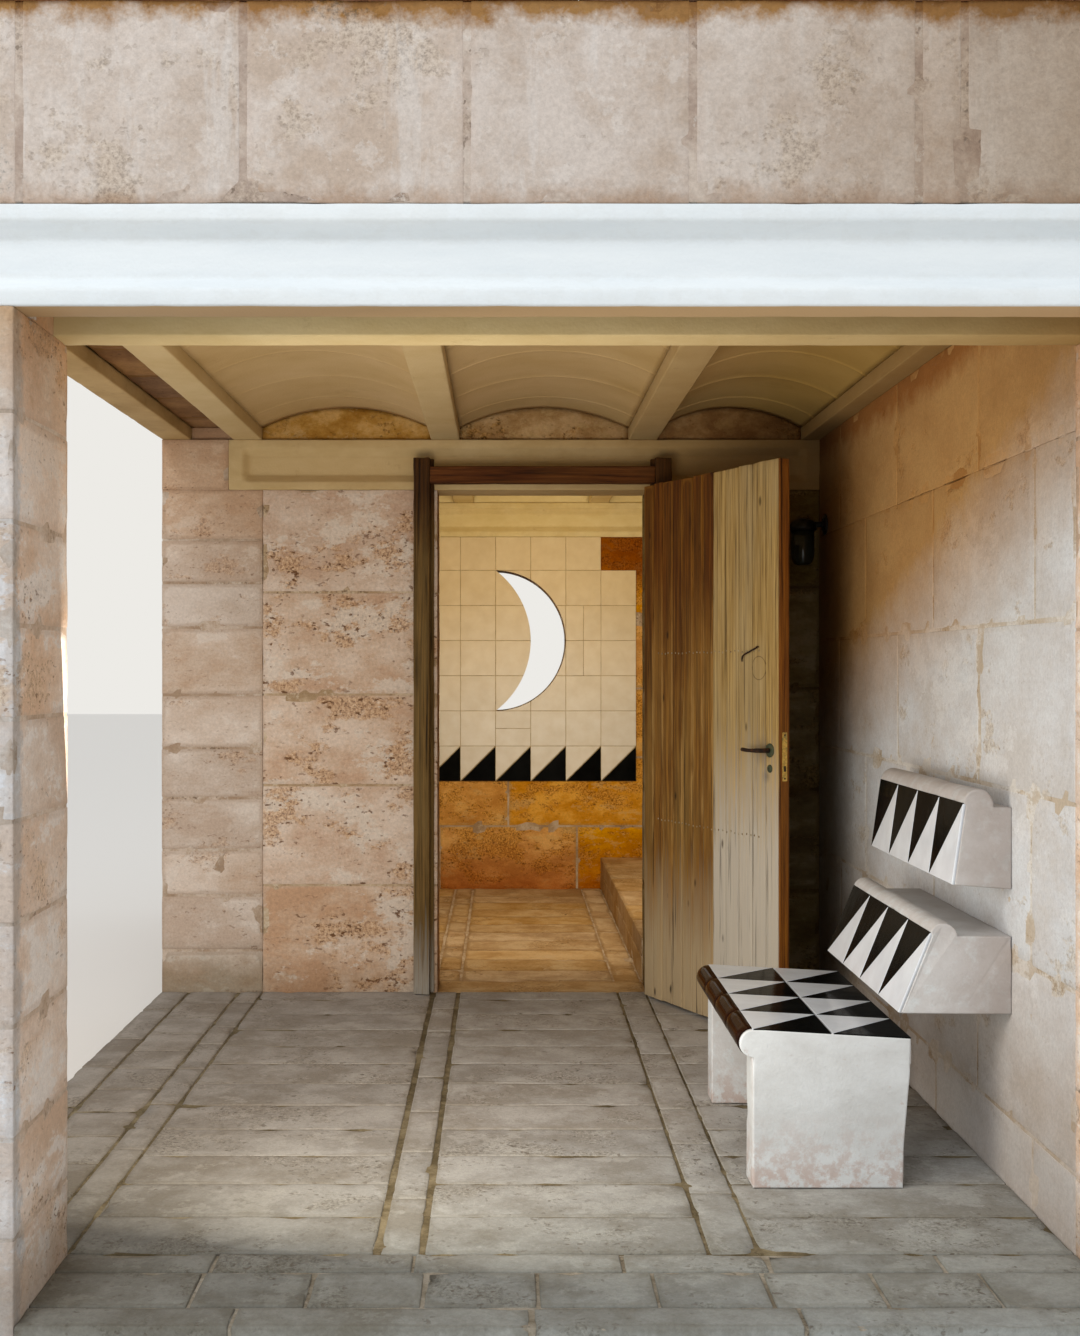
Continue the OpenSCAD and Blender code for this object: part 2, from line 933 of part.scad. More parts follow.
module bench_back_upper() {
  color("#e0dad2")
    placed()
      bench_length(bench_y, bench_end)
        backrest_section(high_out, high_z, high_face, high_lean, high_cap_r, high_shelf_z, high_z - 11);
}

module vestibule_ledge() {
  color("#a88a68")
    placed()
      block([room_w - ledge_seat_w, vestibule_y, 0], [room_w, moon_wall_y, ledge_seat_h]);
}

// Points of a quarter round about a centre, with its own reach across and up, from angle a0 to a1
function quarter_round(centre, across, up, a0, a1) =
  [for (i = [0:8]) centre + [across * cos(a0 + (a1 - a0) * i / 8), up * sin(a0 + (a1 - a0) * i / 8)]];

// The wall plate, its arm and the domed cap that holds the glass jar
module lamp_bracket() {
  arm_z = lamp_cap_z + lamp_rim_h + lamp_arm_r;
  dome_w = lamp_cap_r - lamp_crown_r;
  dome = quarter_round([lamp_crown_r, lamp_rim_h], dome_w, lamp_cap_h - lamp_rim_h, 0, 90);
  color("#2c2b29")
    placed() {
      translate([room_w - lamp_plate_t, lamp_y, arm_z])
        rotate([0, 90, 0])
          cylinder(h = lamp_plate_t, r = lamp_plate_r);
      translate([lamp_x, lamp_y, arm_z])
        rotate([0, 90, 0])
          cylinder(h = lamp_out - 1, r = lamp_arm_r);
      translate([lamp_x, lamp_y, lamp_cap_z])
        rotate_extrude()
          polygon(concat([[0, 0], [lamp_cap_r, 0]], dome, [[0, lamp_cap_h]]));
    }
}

// The jar has a flat foot, a round shoulder above it and a straight side up to its open top
module lamp_glass() {
  bend = jar_r - jar_foot_r;
  rim = [[jar_r, jar_h], [jar_r - jar_wall, jar_h]];
  outer = quarter_round([jar_foot_r, bend], bend, bend, -90, 0);
  inner = quarter_round([jar_foot_r, bend], bend - jar_wall, bend - jar_wall, 0, -90);
  color("#5d6464")
    placed()
      translate([lamp_x, lamp_y, lamp_cap_z - jar_h])
        rotate_extrude()
          polygon(concat([[0, 0]], outer, rim, inner, [[0, jar_wall]]));
}

threshold_course();
porch_floor();
vestibule_floor();
front_left_pillar();
front_right_pillar();
back_left_pillar();
right_wall();
vestibule_left_wall();
door_wall_left();
door_wall_right();
moon_wall();
moon_tile_panel();
front_lintel();
inner_lintel();
door_lintels();
moon_lintels();
left_edge_joist();
porch_joists();
vestibule_joists();
porch_vault(0);  // porch_vault_1
porch_vault(1);  // porch_vault_2
porch_vault(2);  // porch_vault_3
vestibule_vaults();
edge_infill();
tympana();
roof_slab();
front_parapet();
front_coping();
roof_kerb();
door_post_left();
door_post_right();
door_head();
hinge_pins();
door_leaf();
door_ledges();
hinge_knuckles();
door_lock();
door_handles();
bench_supports();
bench_seat();
bench_nose();
bench_back_lower();
bench_back_upper();
vestibule_ledge();
lamp_bracket();
lamp_glass();
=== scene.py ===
# Looks for the moon gate entrance porch: sawn sandstone masonry, limewashed beams and shallow vaults, an open
# plank door, a tiled wall with a crescent opening and a tiled bench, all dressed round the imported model.
import bpy
import math
from functools import partial
from itertools import pairwise
import numpy as np
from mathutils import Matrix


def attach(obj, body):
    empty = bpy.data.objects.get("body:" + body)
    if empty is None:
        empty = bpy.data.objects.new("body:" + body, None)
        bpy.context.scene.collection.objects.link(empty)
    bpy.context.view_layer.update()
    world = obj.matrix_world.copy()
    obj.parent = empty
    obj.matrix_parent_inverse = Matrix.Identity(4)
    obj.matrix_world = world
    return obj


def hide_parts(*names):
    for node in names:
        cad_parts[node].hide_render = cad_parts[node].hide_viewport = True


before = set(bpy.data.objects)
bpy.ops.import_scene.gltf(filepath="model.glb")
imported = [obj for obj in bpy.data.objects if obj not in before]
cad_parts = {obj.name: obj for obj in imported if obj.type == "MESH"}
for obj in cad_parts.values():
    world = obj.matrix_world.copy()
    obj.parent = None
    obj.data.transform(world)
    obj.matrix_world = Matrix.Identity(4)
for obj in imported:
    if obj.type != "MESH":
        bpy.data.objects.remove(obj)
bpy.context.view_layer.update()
rng = np.random.default_rng(1971)
planOrigin = np.array([1102.5, 2955.0, -150.0])  # the frame's origin in plan millimetres
rimReach = 60.0  # how far from an edge its wear and smears may go
print("frame loaded:", len(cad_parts), "nodes")


def valueNoise(points, cell, seed=0):
    # smooth noise from -1 to 1: a hashed number on each corner of a lattice, blended by smoothstep between them
    scaled = points / np.asarray(cell, float) + seed * 17.31
    corner = np.floor(scaled).astype(np.int64)
    part = scaled - corner
    part = part * part * (3 - 2 * part)
    total = np.zeros(len(points))
    for step in np.ndindex(2, 2, 2):
        place = corner + step
        key = place[:, 0] * 73856093 ^ place[:, 1] * 19349663 ^ place[:, 2] * 83492791
        key = ((key ^ (key >> 13)) * 1274126177) & 0x7fffffff
        weight = np.prod(np.where(np.array(step) == 1, part, 1 - part), axis=1)
        total += weight * ((key >> 9) & 0xffff) / 0xffff
    return 2 * total - 1


def softLoop(corners, radius, step):
    # closed outline: each corner becomes a parabola from one side to the next, then long sides get even points
    before = np.roll(corners, 1, axis=0) - corners
    after = np.roll(corners, -1, axis=0) - corners
    lengthBefore = np.linalg.norm(before, axis=1, keepdims=True)
    lengthAfter = np.linalg.norm(after, axis=1, keepdims=True)
    reach = np.minimum(radius, 0.42 * np.minimum(lengthBefore, lengthAfter))
    first = (corners + before / lengthBefore * reach)[:, None]
    last = (corners + after / lengthAfter * reach)[:, None]
    t = np.linspace(0, 1, 4)[None, :, None]
    outline = ((1 - t) ** 2 * first + 2 * t * (1 - t) * corners[:, None] + t ** 2 * last).reshape(-1, 2)
    shut = np.vstack([outline, outline[:1]])
    run = np.concatenate([[0], np.cumsum(np.linalg.norm(np.diff(shut, axis=0), axis=1))])
    more = np.arange(step / 2, run[-1], step)
    more = more[np.abs(more[:, None] - run[None]).min(axis=1) > 0.3 * step]
    places = np.sort(np.concatenate([run[:-1], more]))
    return np.stack([np.interp(places, run, shut[:, k]) for k in (0, 1)], axis=1)


def closed(co, quads, caps, tone, slot, rim=None):
    # one solid of quads and end faces. If its volume, the sum over triangles of a . (b x c), comes out negative,
    # every face is turned round. rim is each point's distance from the nearest edge.
    rel = co - co.mean(axis=0)
    fans = [np.stack([np.full(len(c) - 2, c[0]), c[1:-1], c[2:]], axis=1) for c in caps]
    faces = np.vstack([quads[:, [0, 1, 2]], quads[:, [0, 2, 3]], *fans])
    volume = np.einsum("ij,ij->i", rel[faces[:, 0]], np.cross(rel[faces[:, 1]], rel[faces[:, 2]])).sum()
    if volume < 0:
        quads = quads[:, ::-1]
        caps = [c[::-1] for c in caps]
    rim = np.full(len(co), rimReach) if rim is None else rim.ravel()
    return {"co": co, "quads": quads, "caps": caps, "tone": tone, "slot": slot, "rim": rim}


def skin(rings, tone=0.5, slot=0, rim=None):
    # solid over a stack of rings: point k of a ring joins point k of the next, and both end rings are capped
    count, around = rings.shape[:2]
    index = np.arange(count * around).reshape(count, around)
    beside = np.roll(index, -1, axis=1)
    quads = np.stack([index[:-1], beside[:-1], beside[1:], index[1:]], axis=-1).reshape(-1, 4)
    return closed(rings.reshape(-1, 3).astype(float), quads, [index[0][::-1], index[-1]], tone, slot, rim)


def between(front, back, tone=0.5):
    # solid between two grids of points of one size: the cells of both, and a wall from rim to rim
    rows, columns = front.shape[:2]
    index = np.arange(rows * columns).reshape(rows, columns)
    cells = np.stack([index[:-1, :-1], index[1:, :-1], index[1:, 1:], index[:-1, 1:]], axis=-1).reshape(-1, 4)
    rim = np.concatenate([index[:-1, 0], index[-1, :-1], index[:0:-1, -1], index[0, :0:-1]])
    ahead = np.roll(rim, -1)
    wall = np.stack([ahead, rim, rim + index.size, ahead + index.size], axis=1)
    quads = np.vstack([cells, cells[:, ::-1] + index.size, wall])
    return closed(np.vstack([front.reshape(-1, 3), back.reshape(-1, 3)]), quads, [], tone, 0)


def weather(points, near, look):
    # how far each point moves out: broad noise plus half as much fine noise, less a bite where an edge is near
    flat = points.reshape(-1, 3)
    move = look["rough"] * (valueNoise(flat, look["broad"], 1) + 0.5 * valueNoise(flat, look["fine"], 2))
    if "chip" in look:
        bite = np.clip(valueNoise(flat, look["chipCell"], 3) - 0.25, 0, None)
        move -= look["chip"] * bite * np.clip(1 - near.ravel() / look["chipReach"], 0, 1)
    return move.reshape(points.shape[:2])


def sweep(corners, axis, start, end, look, tone=0.5, slot=0, extra=()):
    # solid along one axis: a rounded outline across it is carried from start to end and drawn in by a quarter
    # circle at both ends, then every point moves along its outward normal by the weathering
    corners = np.asarray(corners, float)
    ahead = np.roll(corners, -1, axis=0)
    if np.sum(corners[:, 0] * ahead[:, 1] - ahead[:, 0] * corners[:, 1]) < 0:
        corners = corners[::-1]
    loop = softLoop(corners, look["round"], look["step"])
    side = np.roll(loop, -1, axis=0) - np.roll(loop, 1, axis=0)
    normal = np.stack([side[:, 1], -side[:, 0]], axis=1)
    normal /= np.linalg.norm(normal, axis=1, keepdims=True)
    edge = min(0.7 * look["round"], 0.2 * (end - start), 0.3 * np.ptp(loop, axis=0).min())
    turn = np.radians([0, 35, 65, 90])
    count = max(2, round((end - start - 2 * edge) / look.get("along", look["step"])) + 1)
    body = np.linspace(start + edge, end - edge, count)[1:-1]
    body = np.unique(np.concatenate([body, np.asarray(extra, float)]))
    lead = edge * (1 - np.cos(turn))
    station = np.concatenate([start + lead, body, end - lead[::-1]])
    drawn = edge * (1 - np.sin(turn))
    inset = np.concatenate([drawn, np.zeros(len(body)), drawn[::-1]])
    facing = np.concatenate([-np.cos(turn), np.zeros(len(body)), np.cos(turn[::-1])])
    across = [i for i in range(3) if i != axis]
    points = np.empty((len(station), len(loop), 3))
    points[..., across] = loop[None] - normal[None] * inset[:, None, None]
    points[..., axis] = station[:, None]
    outward = np.empty_like(points)
    outward[..., across] = normal[None] * np.sqrt(1 - facing ** 2)[:, None, None]
    outward[..., axis] = facing[:, None]
    toCorner = np.linalg.norm(loop[:, None] - corners[None], axis=2).min(axis=1)
    toEnd = np.minimum(station - start, end - station)
    near = np.minimum(toCorner[None], toEnd[:, None])
    points += outward * weather(points, near, look)[..., None]
    return skin(points, tone, slot, near)


def block(low, high, axis, look, tone=None, slot=0):
    # rounded box between two corners, swept along one axis
    a, b = [i for i in range(3) if i != axis]
    corners = [[low[a], low[b]], [high[a], low[b]], [high[a], high[b]], [low[a], high[b]]]
    return sweep(corners, axis, low[axis], high[axis], look, rng.random() if tone is None else tone, slot)


def turned(profile, centre, axis, around=32, tone=0.5, slot=0):
    # turned solid: each (radius, distance) pair of the profile is a circle about the axis through the centre
    profile = np.asarray(profile, float)
    angle = np.linspace(0, 2 * math.pi, around, endpoint=False)
    a, b = [i for i in range(3) if i != axis]
    points = np.zeros((len(profile), around, 3)) + np.asarray(centre, float)
    points[..., a] += profile[:, :1] * np.cos(angle)
    points[..., b] += profile[:, :1] * np.sin(angle)
    points[..., axis] += profile[:, 1:]
    return skin(points, tone, slot)


def rod(path, radius, around=12):
    # round bar along a path: circles square to the path's direction, with the radius given at each point
    path = np.asarray(path, float)
    way = np.gradient(path, axis=0)
    way /= np.linalg.norm(way, axis=1, keepdims=True)
    sideA = np.cross(way, [0.31, 0.87, 0.38])
    sideA /= np.linalg.norm(sideA, axis=1, keepdims=True)
    sideB = np.cross(way, sideA)
    angle = np.linspace(0, 2 * math.pi, around, endpoint=False)[None, :, None]
    size = np.broadcast_to(np.asarray(radius, float), (len(path),))[:, None, None]
    return skin(path[:, None] + size * (np.cos(angle) * sideA[:, None] + np.sin(angle) * sideB[:, None]))


def tile(corners, place, thick, edge, slot=0):
    # flat tile with pillowed edges: its outline, in the two directions of a face, is lifted along the face's
    # normal and drawn in near the top. place is (origin, first direction, second direction, normal).
    corners = np.asarray(corners, float)
    middle = corners.mean(axis=0)
    loop = softLoop(corners, 0.8 * edge, 60.0)
    reach = np.abs(loop - middle).max()
    height = np.array([0, thick - edge, thick - 0.3 * edge, thick, thick])
    drawn = np.array([0, 0, 0.3 * edge, edge, 2.4 * edge])
    flat = middle + (loop - middle)[None] * (1 - drawn / reach)[:, None, None]
    origin, first, second, normal = [np.asarray(v, float) for v in place]
    rings = origin + flat[..., :1] * first + flat[..., 1:] * second + height[:, None, None] * normal
    return skin(rings, rng.random(), slot)


def makePiece(name, parts, materials, replaced=None, body="porch", change=None):
    # one mesh from many solids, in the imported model's frame, with each solid's tone and each point's nearness to
    # an edge kept as attributes. Faces of more than four corners are flat ends, and the rest are smooth.
    sizes = [len(p["co"]) for p in parts]
    starts = np.cumsum([0] + sizes)
    co = np.vstack([p["co"] for p in parts])
    if change is not None:
        co = change(co)
    faceSizes = np.concatenate([[4] * len(p["quads"]) + [len(c) for c in p["caps"]] for p in parts]).astype(int)
    corners = [np.concatenate([p["quads"].ravel(), *p["caps"]]) + s for p, s in zip(parts, starts)]
    corners = np.concatenate(corners).astype(np.int32)
    slots = np.repeat([p["slot"] for p in parts], [len(p["quads"]) + len(p["caps"]) for p in parts])
    mesh = bpy.data.meshes.new(name)
    mesh.vertices.add(len(co))
    mesh.vertices.foreach_set("co", ((co - planOrigin) / 1000).astype(np.float32).ravel())
    mesh.loops.add(len(corners))
    mesh.polygons.add(len(faceSizes))
    mesh.polygons.foreach_set("loop_start", (np.cumsum(faceSizes) - faceSizes).astype(np.int32))
    mesh.polygons.foreach_set("vertices", corners)
    mesh.polygons.foreach_set("material_index", slots.astype(np.int32))
    mesh.polygons.foreach_set("use_smooth", faceSizes <= 4)
    mesh.update(calc_edges=True)
    rims = np.clip(np.concatenate([p["rim"] for p in parts]) / rimReach, 0, 1)
    for field, values in (("tone", np.repeat([p["tone"] for p in parts], sizes)), ("rim", rims)):
        mesh.attributes.new(field, "FLOAT", "POINT").data.foreach_set("value", values.astype(np.float32))
    for material in materials:
        mesh.materials.append(material)
    piece = bpy.data.objects.new(name, mesh)
    bpy.context.scene.collection.objects.link(piece)
    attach(piece, body)
    if replaced:
        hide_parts(replaced)
    return piece


def faceOutdoors(piece, shift, reachY, reachX=9000):
    # faces whose middle lies beyond a line, in plan millimetres, change from the materials of the sheltered side
    # to those that follow them in the piece's list
    faces = piece.data.polygons
    middle = np.empty(len(faces) * 3, np.float32)
    faces.foreach_get("center", middle)
    slots = np.empty(len(faces), np.int32)
    faces.foreach_get("material_index", slots)
    place = middle.reshape(-1, 3) * 1000 + planOrigin
    beyond = (place[:, 0] > reachX) | (place[:, 1] > reachY)
    faces.foreach_set("material_index", np.where(beyond, slots + shift, slots).astype(np.int32))


def hexLinear(code):
    # sRGB hex to the linear colour that a socket takes
    part = np.array([int(code[i:i + 2], 16) for i in (1, 3, 5)]) / 255
    return (*np.where(part <= 0.04045, part / 12.92, ((part + 0.055) / 1.055) ** 2.4), 1.0)


def addNode(tree, kind, sockets=(), stops=(), **settings):
    # a node with its settings and its ramp's stops. Its sockets, by name or in order, are linked from a socket or
    # from a node's first open output, or are set to a number, a vector or a colour's hex code.
    node = tree.nodes.new("ShaderNode" + kind)
    for key, value in settings.items():
        setattr(node, key, value)
    for i, (place, code) in enumerate(stops):
        stop = node.color_ramp.elements[i] if i < 2 else node.color_ramp.elements.new(place)
        stop.position = place
        stop.color = hexLinear(code)
    for key, value in sockets.items() if isinstance(sockets, dict) else enumerate(sockets):
        if isinstance(value, bpy.types.Node):
            value = next(output for output in value.outputs if output.enabled)
        if isinstance(value, bpy.types.NodeSocket):
            tree.links.new(value, node.inputs[key])
        else:
            node.inputs[key].default_value = hexLinear(value) if isinstance(value, str) else value
    return node


def newMaterial(name):
    # an empty material, the way to add its nodes, and what its patterns are laid out by: object coordinates, the
    # same moved apart from solid to solid, each solid's own tone, and how near a point is to an edge
    material = bpy.data.materials.new(name)
    material.use_nodes = True
    material.node_tree.nodes.clear()
    add = partial(addNode, material.node_tree)
    coords = add("TexCoord").outputs["Object"]
    tone, rim = [add("Attribute", attribute_name=field).outputs["Fac"] for field in ("tone", "rim")]
    apart = add("VectorMath", {0: (3.1, 1.7, 2.3), "Scale": tone}, operation="SCALE")
    place = add("VectorMath", [coords, apart], operation="ADD")
    return material, add, {"coords": coords, "place": place, "tone": tone, "rim": rim}


def surface(add, sockets, height=None, strength=0.0, depth=0.0):
    # the shader with its sockets, and a relief of a depth in metres where a pattern gives its height
    if height is not None:
        sockets["Normal"] = add("Bump", {"Height": height, "Strength": strength, "Distance": depth})
    add("OutputMaterial", {"Surface": add("BsdfPrincipled", sockets)})


def toned(add, at, colour, spread, **more):
    # each solid comes out lighter or darker by its own tone
    value = add("MapRange", [at["tone"], 0.0, 1.0, 1 - spread, 1 + spread])
    return add("HueSaturation", {"Color": colour, "Value": value, **more})


def coat(add, colour, over, pattern, start, end, after, before=0.0, blend="MIX"):
    # one colour laid over another: its strength goes from before to after as the pattern goes from start to end
    amount = add("MapRange", [pattern, start, end, before, after])
    return add("Mix", {0: amount, 6: colour, 7: over}, data_type="RGBA", blend_type=blend)


# the ways that stains and painted light grow; slope is up and away from the street, as the painted light on the
# right wall goes
stainAndShadeWays = {"X": (1.0, 0.0, 0.0), "Y": (0.0, 1.0, 0.0), "Z": (0.0, 0.0, 1.0), "slope": (0.0, 0.3, 1.0)}


def applyStainsAndShade(add, at, colour, stains):
    # each entry darkens and tints its surface along one way, from its start to its full strength, with a ragged
    # front
    # some entries are real stains, and others are painted light and painted shade
    ragged = add("TexNoise", {"Vector": at["coords"], "Scale": 1000 / 110, "Detail": 5.0, "Roughness": 0.72})
    for way, start, full, code, amount in stains:
        run = add("VectorMath", [at["coords"], stainAndShadeWays[way]], operation="DOT_PRODUCT")
        run = add("Math", [ragged, 0.16, run], operation="MULTIPLY_ADD")
        colour = coat(add, colour, code, run, start + 0.08, full + 0.08, amount, blend="MULTIPLY")
    return colour


def sandstone(name, base, codes, **changes):
    # sawn marine sandstone: laid down in flat beds and mottled at every size down to its shell grain, with a pale
    # crust left in ragged patches, open grain and pits between them, mortar smeared over the joints' edges, and
    # each block a tone of its own. The codes are its colours: pale, middling and warm bed, light, open and dark
    # grain, lime crust, and the joint's mortar.
    look = {**base, **changes}
    pale, mid, warm, light, openGrain, dark, lime, joint = codes.split()
    material, add, at = newMaterial(name)
    beds = add("Mapping", {"Vector": at["place"], "Scale": (1.0, 1.0, look["beds"])})
    patches, wear, crust, grain, holes = [
        add("TexNoise", {"Vector": way, "Scale": 1000 / look[size], "Detail": detail, "Roughness": rough})
        for way, size, detail, rough in ((beds, "patch", 6.0, 0.7), (beds, "wearSize", 6.0, 0.7),
                                         (beds, "crustSize", 6.0, 0.74), (at["coords"], "grain", 2.0, 0.8),
                                         (beds, "pore", 2.0, 0.5))]
    colour = add("ValToRGB", [patches], [(0.4, warm), (0.6, pale), (0.5, mid)])
    other = add("Math", [at["tone"], 7.3], operation="MULTIPLY")
    other = add("Math", [other], operation="FRACT")
    rich = add("MapRange", [other, 0.0, 1.0, 0.85, 1.15])
    colour = toned(add, at, colour, look["spread"], Saturation=rich)
    worn = add("MapRange", [wear, look["wearFrom"], look["wearFrom"] + 0.04, 0.0, look["worn"]])
    shelly = add("ValToRGB", [grain], [(0.34, dark), (0.66, light), (0.47, openGrain)])
    colour = add("Mix", {0: worn, 6: colour, 7: shelly}, data_type="RGBA")
    colour = coat(add, colour, lime, crust, look["crustFrom"], look["crustFrom"] + 0.035, look["crust"])
    inward = add("Math", [at["rim"], crust], operation="SUBTRACT")
    colour = coat(add, colour, joint, inward, -0.4, -0.26, 0.0, look["smear"])
    if "rain" in look:
        # rain has run down from above and left pale lime in long streaks
        drawn = add("Mapping", {"Vector": at["coords"], "Scale": (9.0, 9.0, 1.3)})
        runs = add("TexNoise", {"Vector": drawn, "Scale": 1.0, "Detail": 6.0, "Roughness": 0.74})
        colour = coat(add, colour, look["rain"], runs, 0.54, 0.62, 0.5)
    if "lichen" in look:
        # grey lichen in broad rings, broken up by the grain
        spots = add("TexVoronoi", {"Vector": at["coords"], "Scale": 1000 / 620})
        thin = add("Math", [grain, 0.5, spots], operation="MULTIPLY_ADD")
        colour = coat(add, colour, look["lichen"], thin, 0.33, 0.42, 0.0, 0.7)
    colour = applyStainsAndShade(add, at, colour, look["stains"])
    speck = add("MapRange", [grain, 0.3, 0.7, 1 - look["speckle"], 1 + look["speckle"]])
    colour = add("HueSaturation", {"Color": colour, "Value": speck})
    hole = add("MapRange", [holes, 0.63, 0.68])
    zone = add("MapRange", [wear, look["wearFrom"] - 0.1, look["wearFrom"] + 0.03, 0.12 * look["pores"],
                            look["pores"]])
    pore = add("Math", [hole, zone], operation="MULTIPLY")
    colour = add("Mix", {0: pore, 6: colour, 7: dark}, data_type="RGBA")
    depth = add("MapRange", [worn, 0.0, 1.0, 0.5, 1.6])
    rise = add("Math", [grain, depth], operation="MULTIPLY")
    for sunk in (pore, worn):
        rise = add("Math", [rise, sunk], operation="SUBTRACT")
    surface(add, {"Base Color": colour, "Roughness": 0.92, "Specular IOR Level": 0.2}, rise, 0.6, 0.004)
    return material


def limePaint(name, codes, look):
    # brushed lime or masonry paint: nearly even colour, broad brush sweeps, thin worn places and rubbed edges.
    # The codes are its light and shaded colours and what shows under it.
    light, shade, under = codes.split()
    material, add, at = newMaterial(name)
    swept = add("Mapping", {"Vector": at["place"], "Scale": look["brush"]})
    strokes = add("TexNoise", {"Vector": swept, "Scale": 1.0, "Detail": 5.0, "Roughness": 0.67})
    colour = add("ValToRGB", [strokes], [(0.35, shade), (0.65, light)])
    spots = add("TexNoise", {"Vector": at["coords"], "Scale": 1000 / look["spot"], "Detail": 5.0,
                             "Roughness": 0.74})
    amount = add("MapRange", [spots, look["wornFrom"], look["wornFrom"] + 0.08, 0.0, look["worn"]])
    inward = add("Math", [at["rim"], spots], operation="SUBTRACT")
    rubbed = add("MapRange", [inward, -0.48, -0.36, look["rubbed"], 0.0])
    amount = add("Math", [amount, rubbed], operation="MAXIMUM")
    axes = add("SeparateXYZ", [at["coords"]])
    if "foot" in look:
        # damp foot: the wear grows towards the floor
        low = add("MapRange", [axes.outputs["Z"], 0.15, 0.15 + look["foot"], 1.0, 0.0])
        mottled = add("MapRange", [spots, 0.44, 0.56, 0.0, 0.85])
        damp = add("Math", [low, mottled], operation="MULTIPLY")
        amount = add("Math", [amount, damp], operation="MAXIMUM")
    colour = add("Mix", {0: amount, 6: colour, 7: under}, data_type="RGBA")
    if "back" in look:
        # paint only on the front: the underside and the back are bare, each given by its object-space level
        below = add("MapRange", [axes.outputs["Z"], look["soffit"] + 0.004, look["soffit"] + 0.001])
        behind = add("MapRange", [axes.outputs["Y"], look["front"] + 0.004, look["front"] + 0.008])
        bare = add("Math", [below, behind], operation="MULTIPLY")
        colour = add("Mix", {0: bare, 6: colour, 7: look["back"]}, data_type="RGBA")
    colour = applyStainsAndShade(add, at, colour, look.get("stains", []))
    fine = add("TexNoise", {"Vector": at["coords"], "Scale": 1000 / 7, "Detail": 1.0})
    sockets = {"Base Color": colour, "Roughness": look["rough"], "Specular IOR Level": 0.3}
    surface(add, sockets, fine, 0.35, 0.002)
    return material


def weatheredWood(name, base, codes, **changes):
    # sawn softwood left outdoors: long streaks of grain, dark lines where the soft wood has gone, silvered
    # patches, rubbed edges and dark knots. The codes are its dark, middling and light grain, its silver, knots
    # and edges.
    look = {**base, **changes}
    dark, mid, light, silver, knotty, edge = codes.split()
    material, add, at = newMaterial(name)
    along, broad, checks, stretch = [add("Mapping", {"Vector": at["place"], "Scale": look[scale]}) for scale in
                                     ("grainScale", "patchScale", "checkScale", "knotScale")]
    grain = add("TexNoise", {"Vector": along, "Scale": 1.0, "Detail": 4.0, "Roughness": 0.68,
                             "Distortion": 0.25})
    patch = add("TexNoise", {"Vector": broad, "Scale": 1.0, "Detail": 4.0, "Roughness": 0.65})
    check = add("TexNoise", {"Vector": checks, "Scale": 1.0, "Detail": 3.0, "Roughness": 0.6})
    colour = add("ValToRGB", [grain], [(0.3, dark), (0.68, light), (0.48, mid)])
    colour = toned(add, at, colour, look["spread"])
    colour = coat(add, colour, silver, patch, 0.45, 0.62, look["silvering"])
    inward = add("Math", [at["rim"], patch], operation="SUBTRACT")
    colour = coat(add, colour, edge, inward, -0.5, -0.4, 0.0, look["rubbed"])
    for centre, radius, wide, code, amount in look.get("marks", []):
        # hands and the hook have worn a spot or a ring, by the distance from its centre, broken up by the grain
        away = add("VectorMath", [at["coords"], centre], operation="DISTANCE")
        away = add("Math", [away, radius], operation="SUBTRACT")
        away = add("Math", [away], operation="ABSOLUTE")
        away = add("Math", [grain, wide, away], operation="MULTIPLY_ADD")
        colour = coat(add, colour, code, away, 0.5 * wide, 1.3 * wide, 0.0, amount)
    if "foot" in look:
        # wet and dry by turns, the foot has lost its colour
        height = add("SeparateXYZ", [at["coords"]]).outputs["Z"]
        height = add("Math", [grain, 0.7, height], operation="MULTIPLY_ADD")
        colour = coat(add, colour, look["foot"], height, look["footTop"] - 0.1, look["footTop"] + 0.3, 0.0, 0.8)
    line = add("MapRange", [check, 0.61, 0.67, 0.0, look["lines"]])
    knots = add("TexVoronoi", {"Vector": stretch, "Scale": 1.0})
    knot = add("MapRange", [knots, 0.05, 0.11, look["knots"], 0.0])
    deep = add("Math", [line, knot], operation="MAXIMUM")
    colour = add("Mix", {0: deep, 6: colour, 7: knotty}, data_type="RGBA")
    colour = applyStainsAndShade(add, at, colour, look.get("stains", []))
    rise = add("Math", [grain, line], operation="SUBTRACT")
    surface(add, {"Base Color": colour, "Roughness": 0.78, "Specular IOR Level": 0.3}, rise, 0.7, 0.0025)
    return material


def glazedClay(name, codes, spread, roughness, shine, stains=()):
    # fired glaze over clay: a glassy even coat, faint cloudiness between its light and its shaded colour, and a
    # slight waviness
    light, shade = codes.split()
    material, add, at = newMaterial(name)
    cloud = add("TexNoise", {"Vector": at["place"], "Scale": 1000 / 70, "Detail": 4.0})
    colour = add("ValToRGB", [cloud], [(0.3, shade), (0.7, light)])
    colour = applyStainsAndShade(add, at, toned(add, at, colour, spread), stains)
    wave = add("TexNoise", {"Vector": at["place"], "Scale": 1000 / 38, "Detail": 2.0})
    surface(add, {"Base Color": colour, "Roughness": roughness, "Specular IOR Level": shine}, wave, 0.25, 0.002)
    return material


def oldMetal(name, codes, mottle, roughness, metallic):
    # forged or cast metal long outdoors: bare metal on the high places, oxide in patches, a hammered skin. The
    # codes are the bare metal, what lies between, and the oxide.
    bare, mid, oxide = codes.split()
    material, add, at = newMaterial(name)
    mottled = add("TexNoise", {"Vector": at["coords"], "Scale": 1000 / mottle, "Detail": 6.0, "Roughness": 0.7})
    colour = add("ValToRGB", [mottled], [(0.38, bare), (0.64, oxide), (0.5, mid)])
    surface(add, {"Base Color": colour, "Roughness": roughness, "Metallic": metallic}, mottled, 0.4, 0.001)
    return material


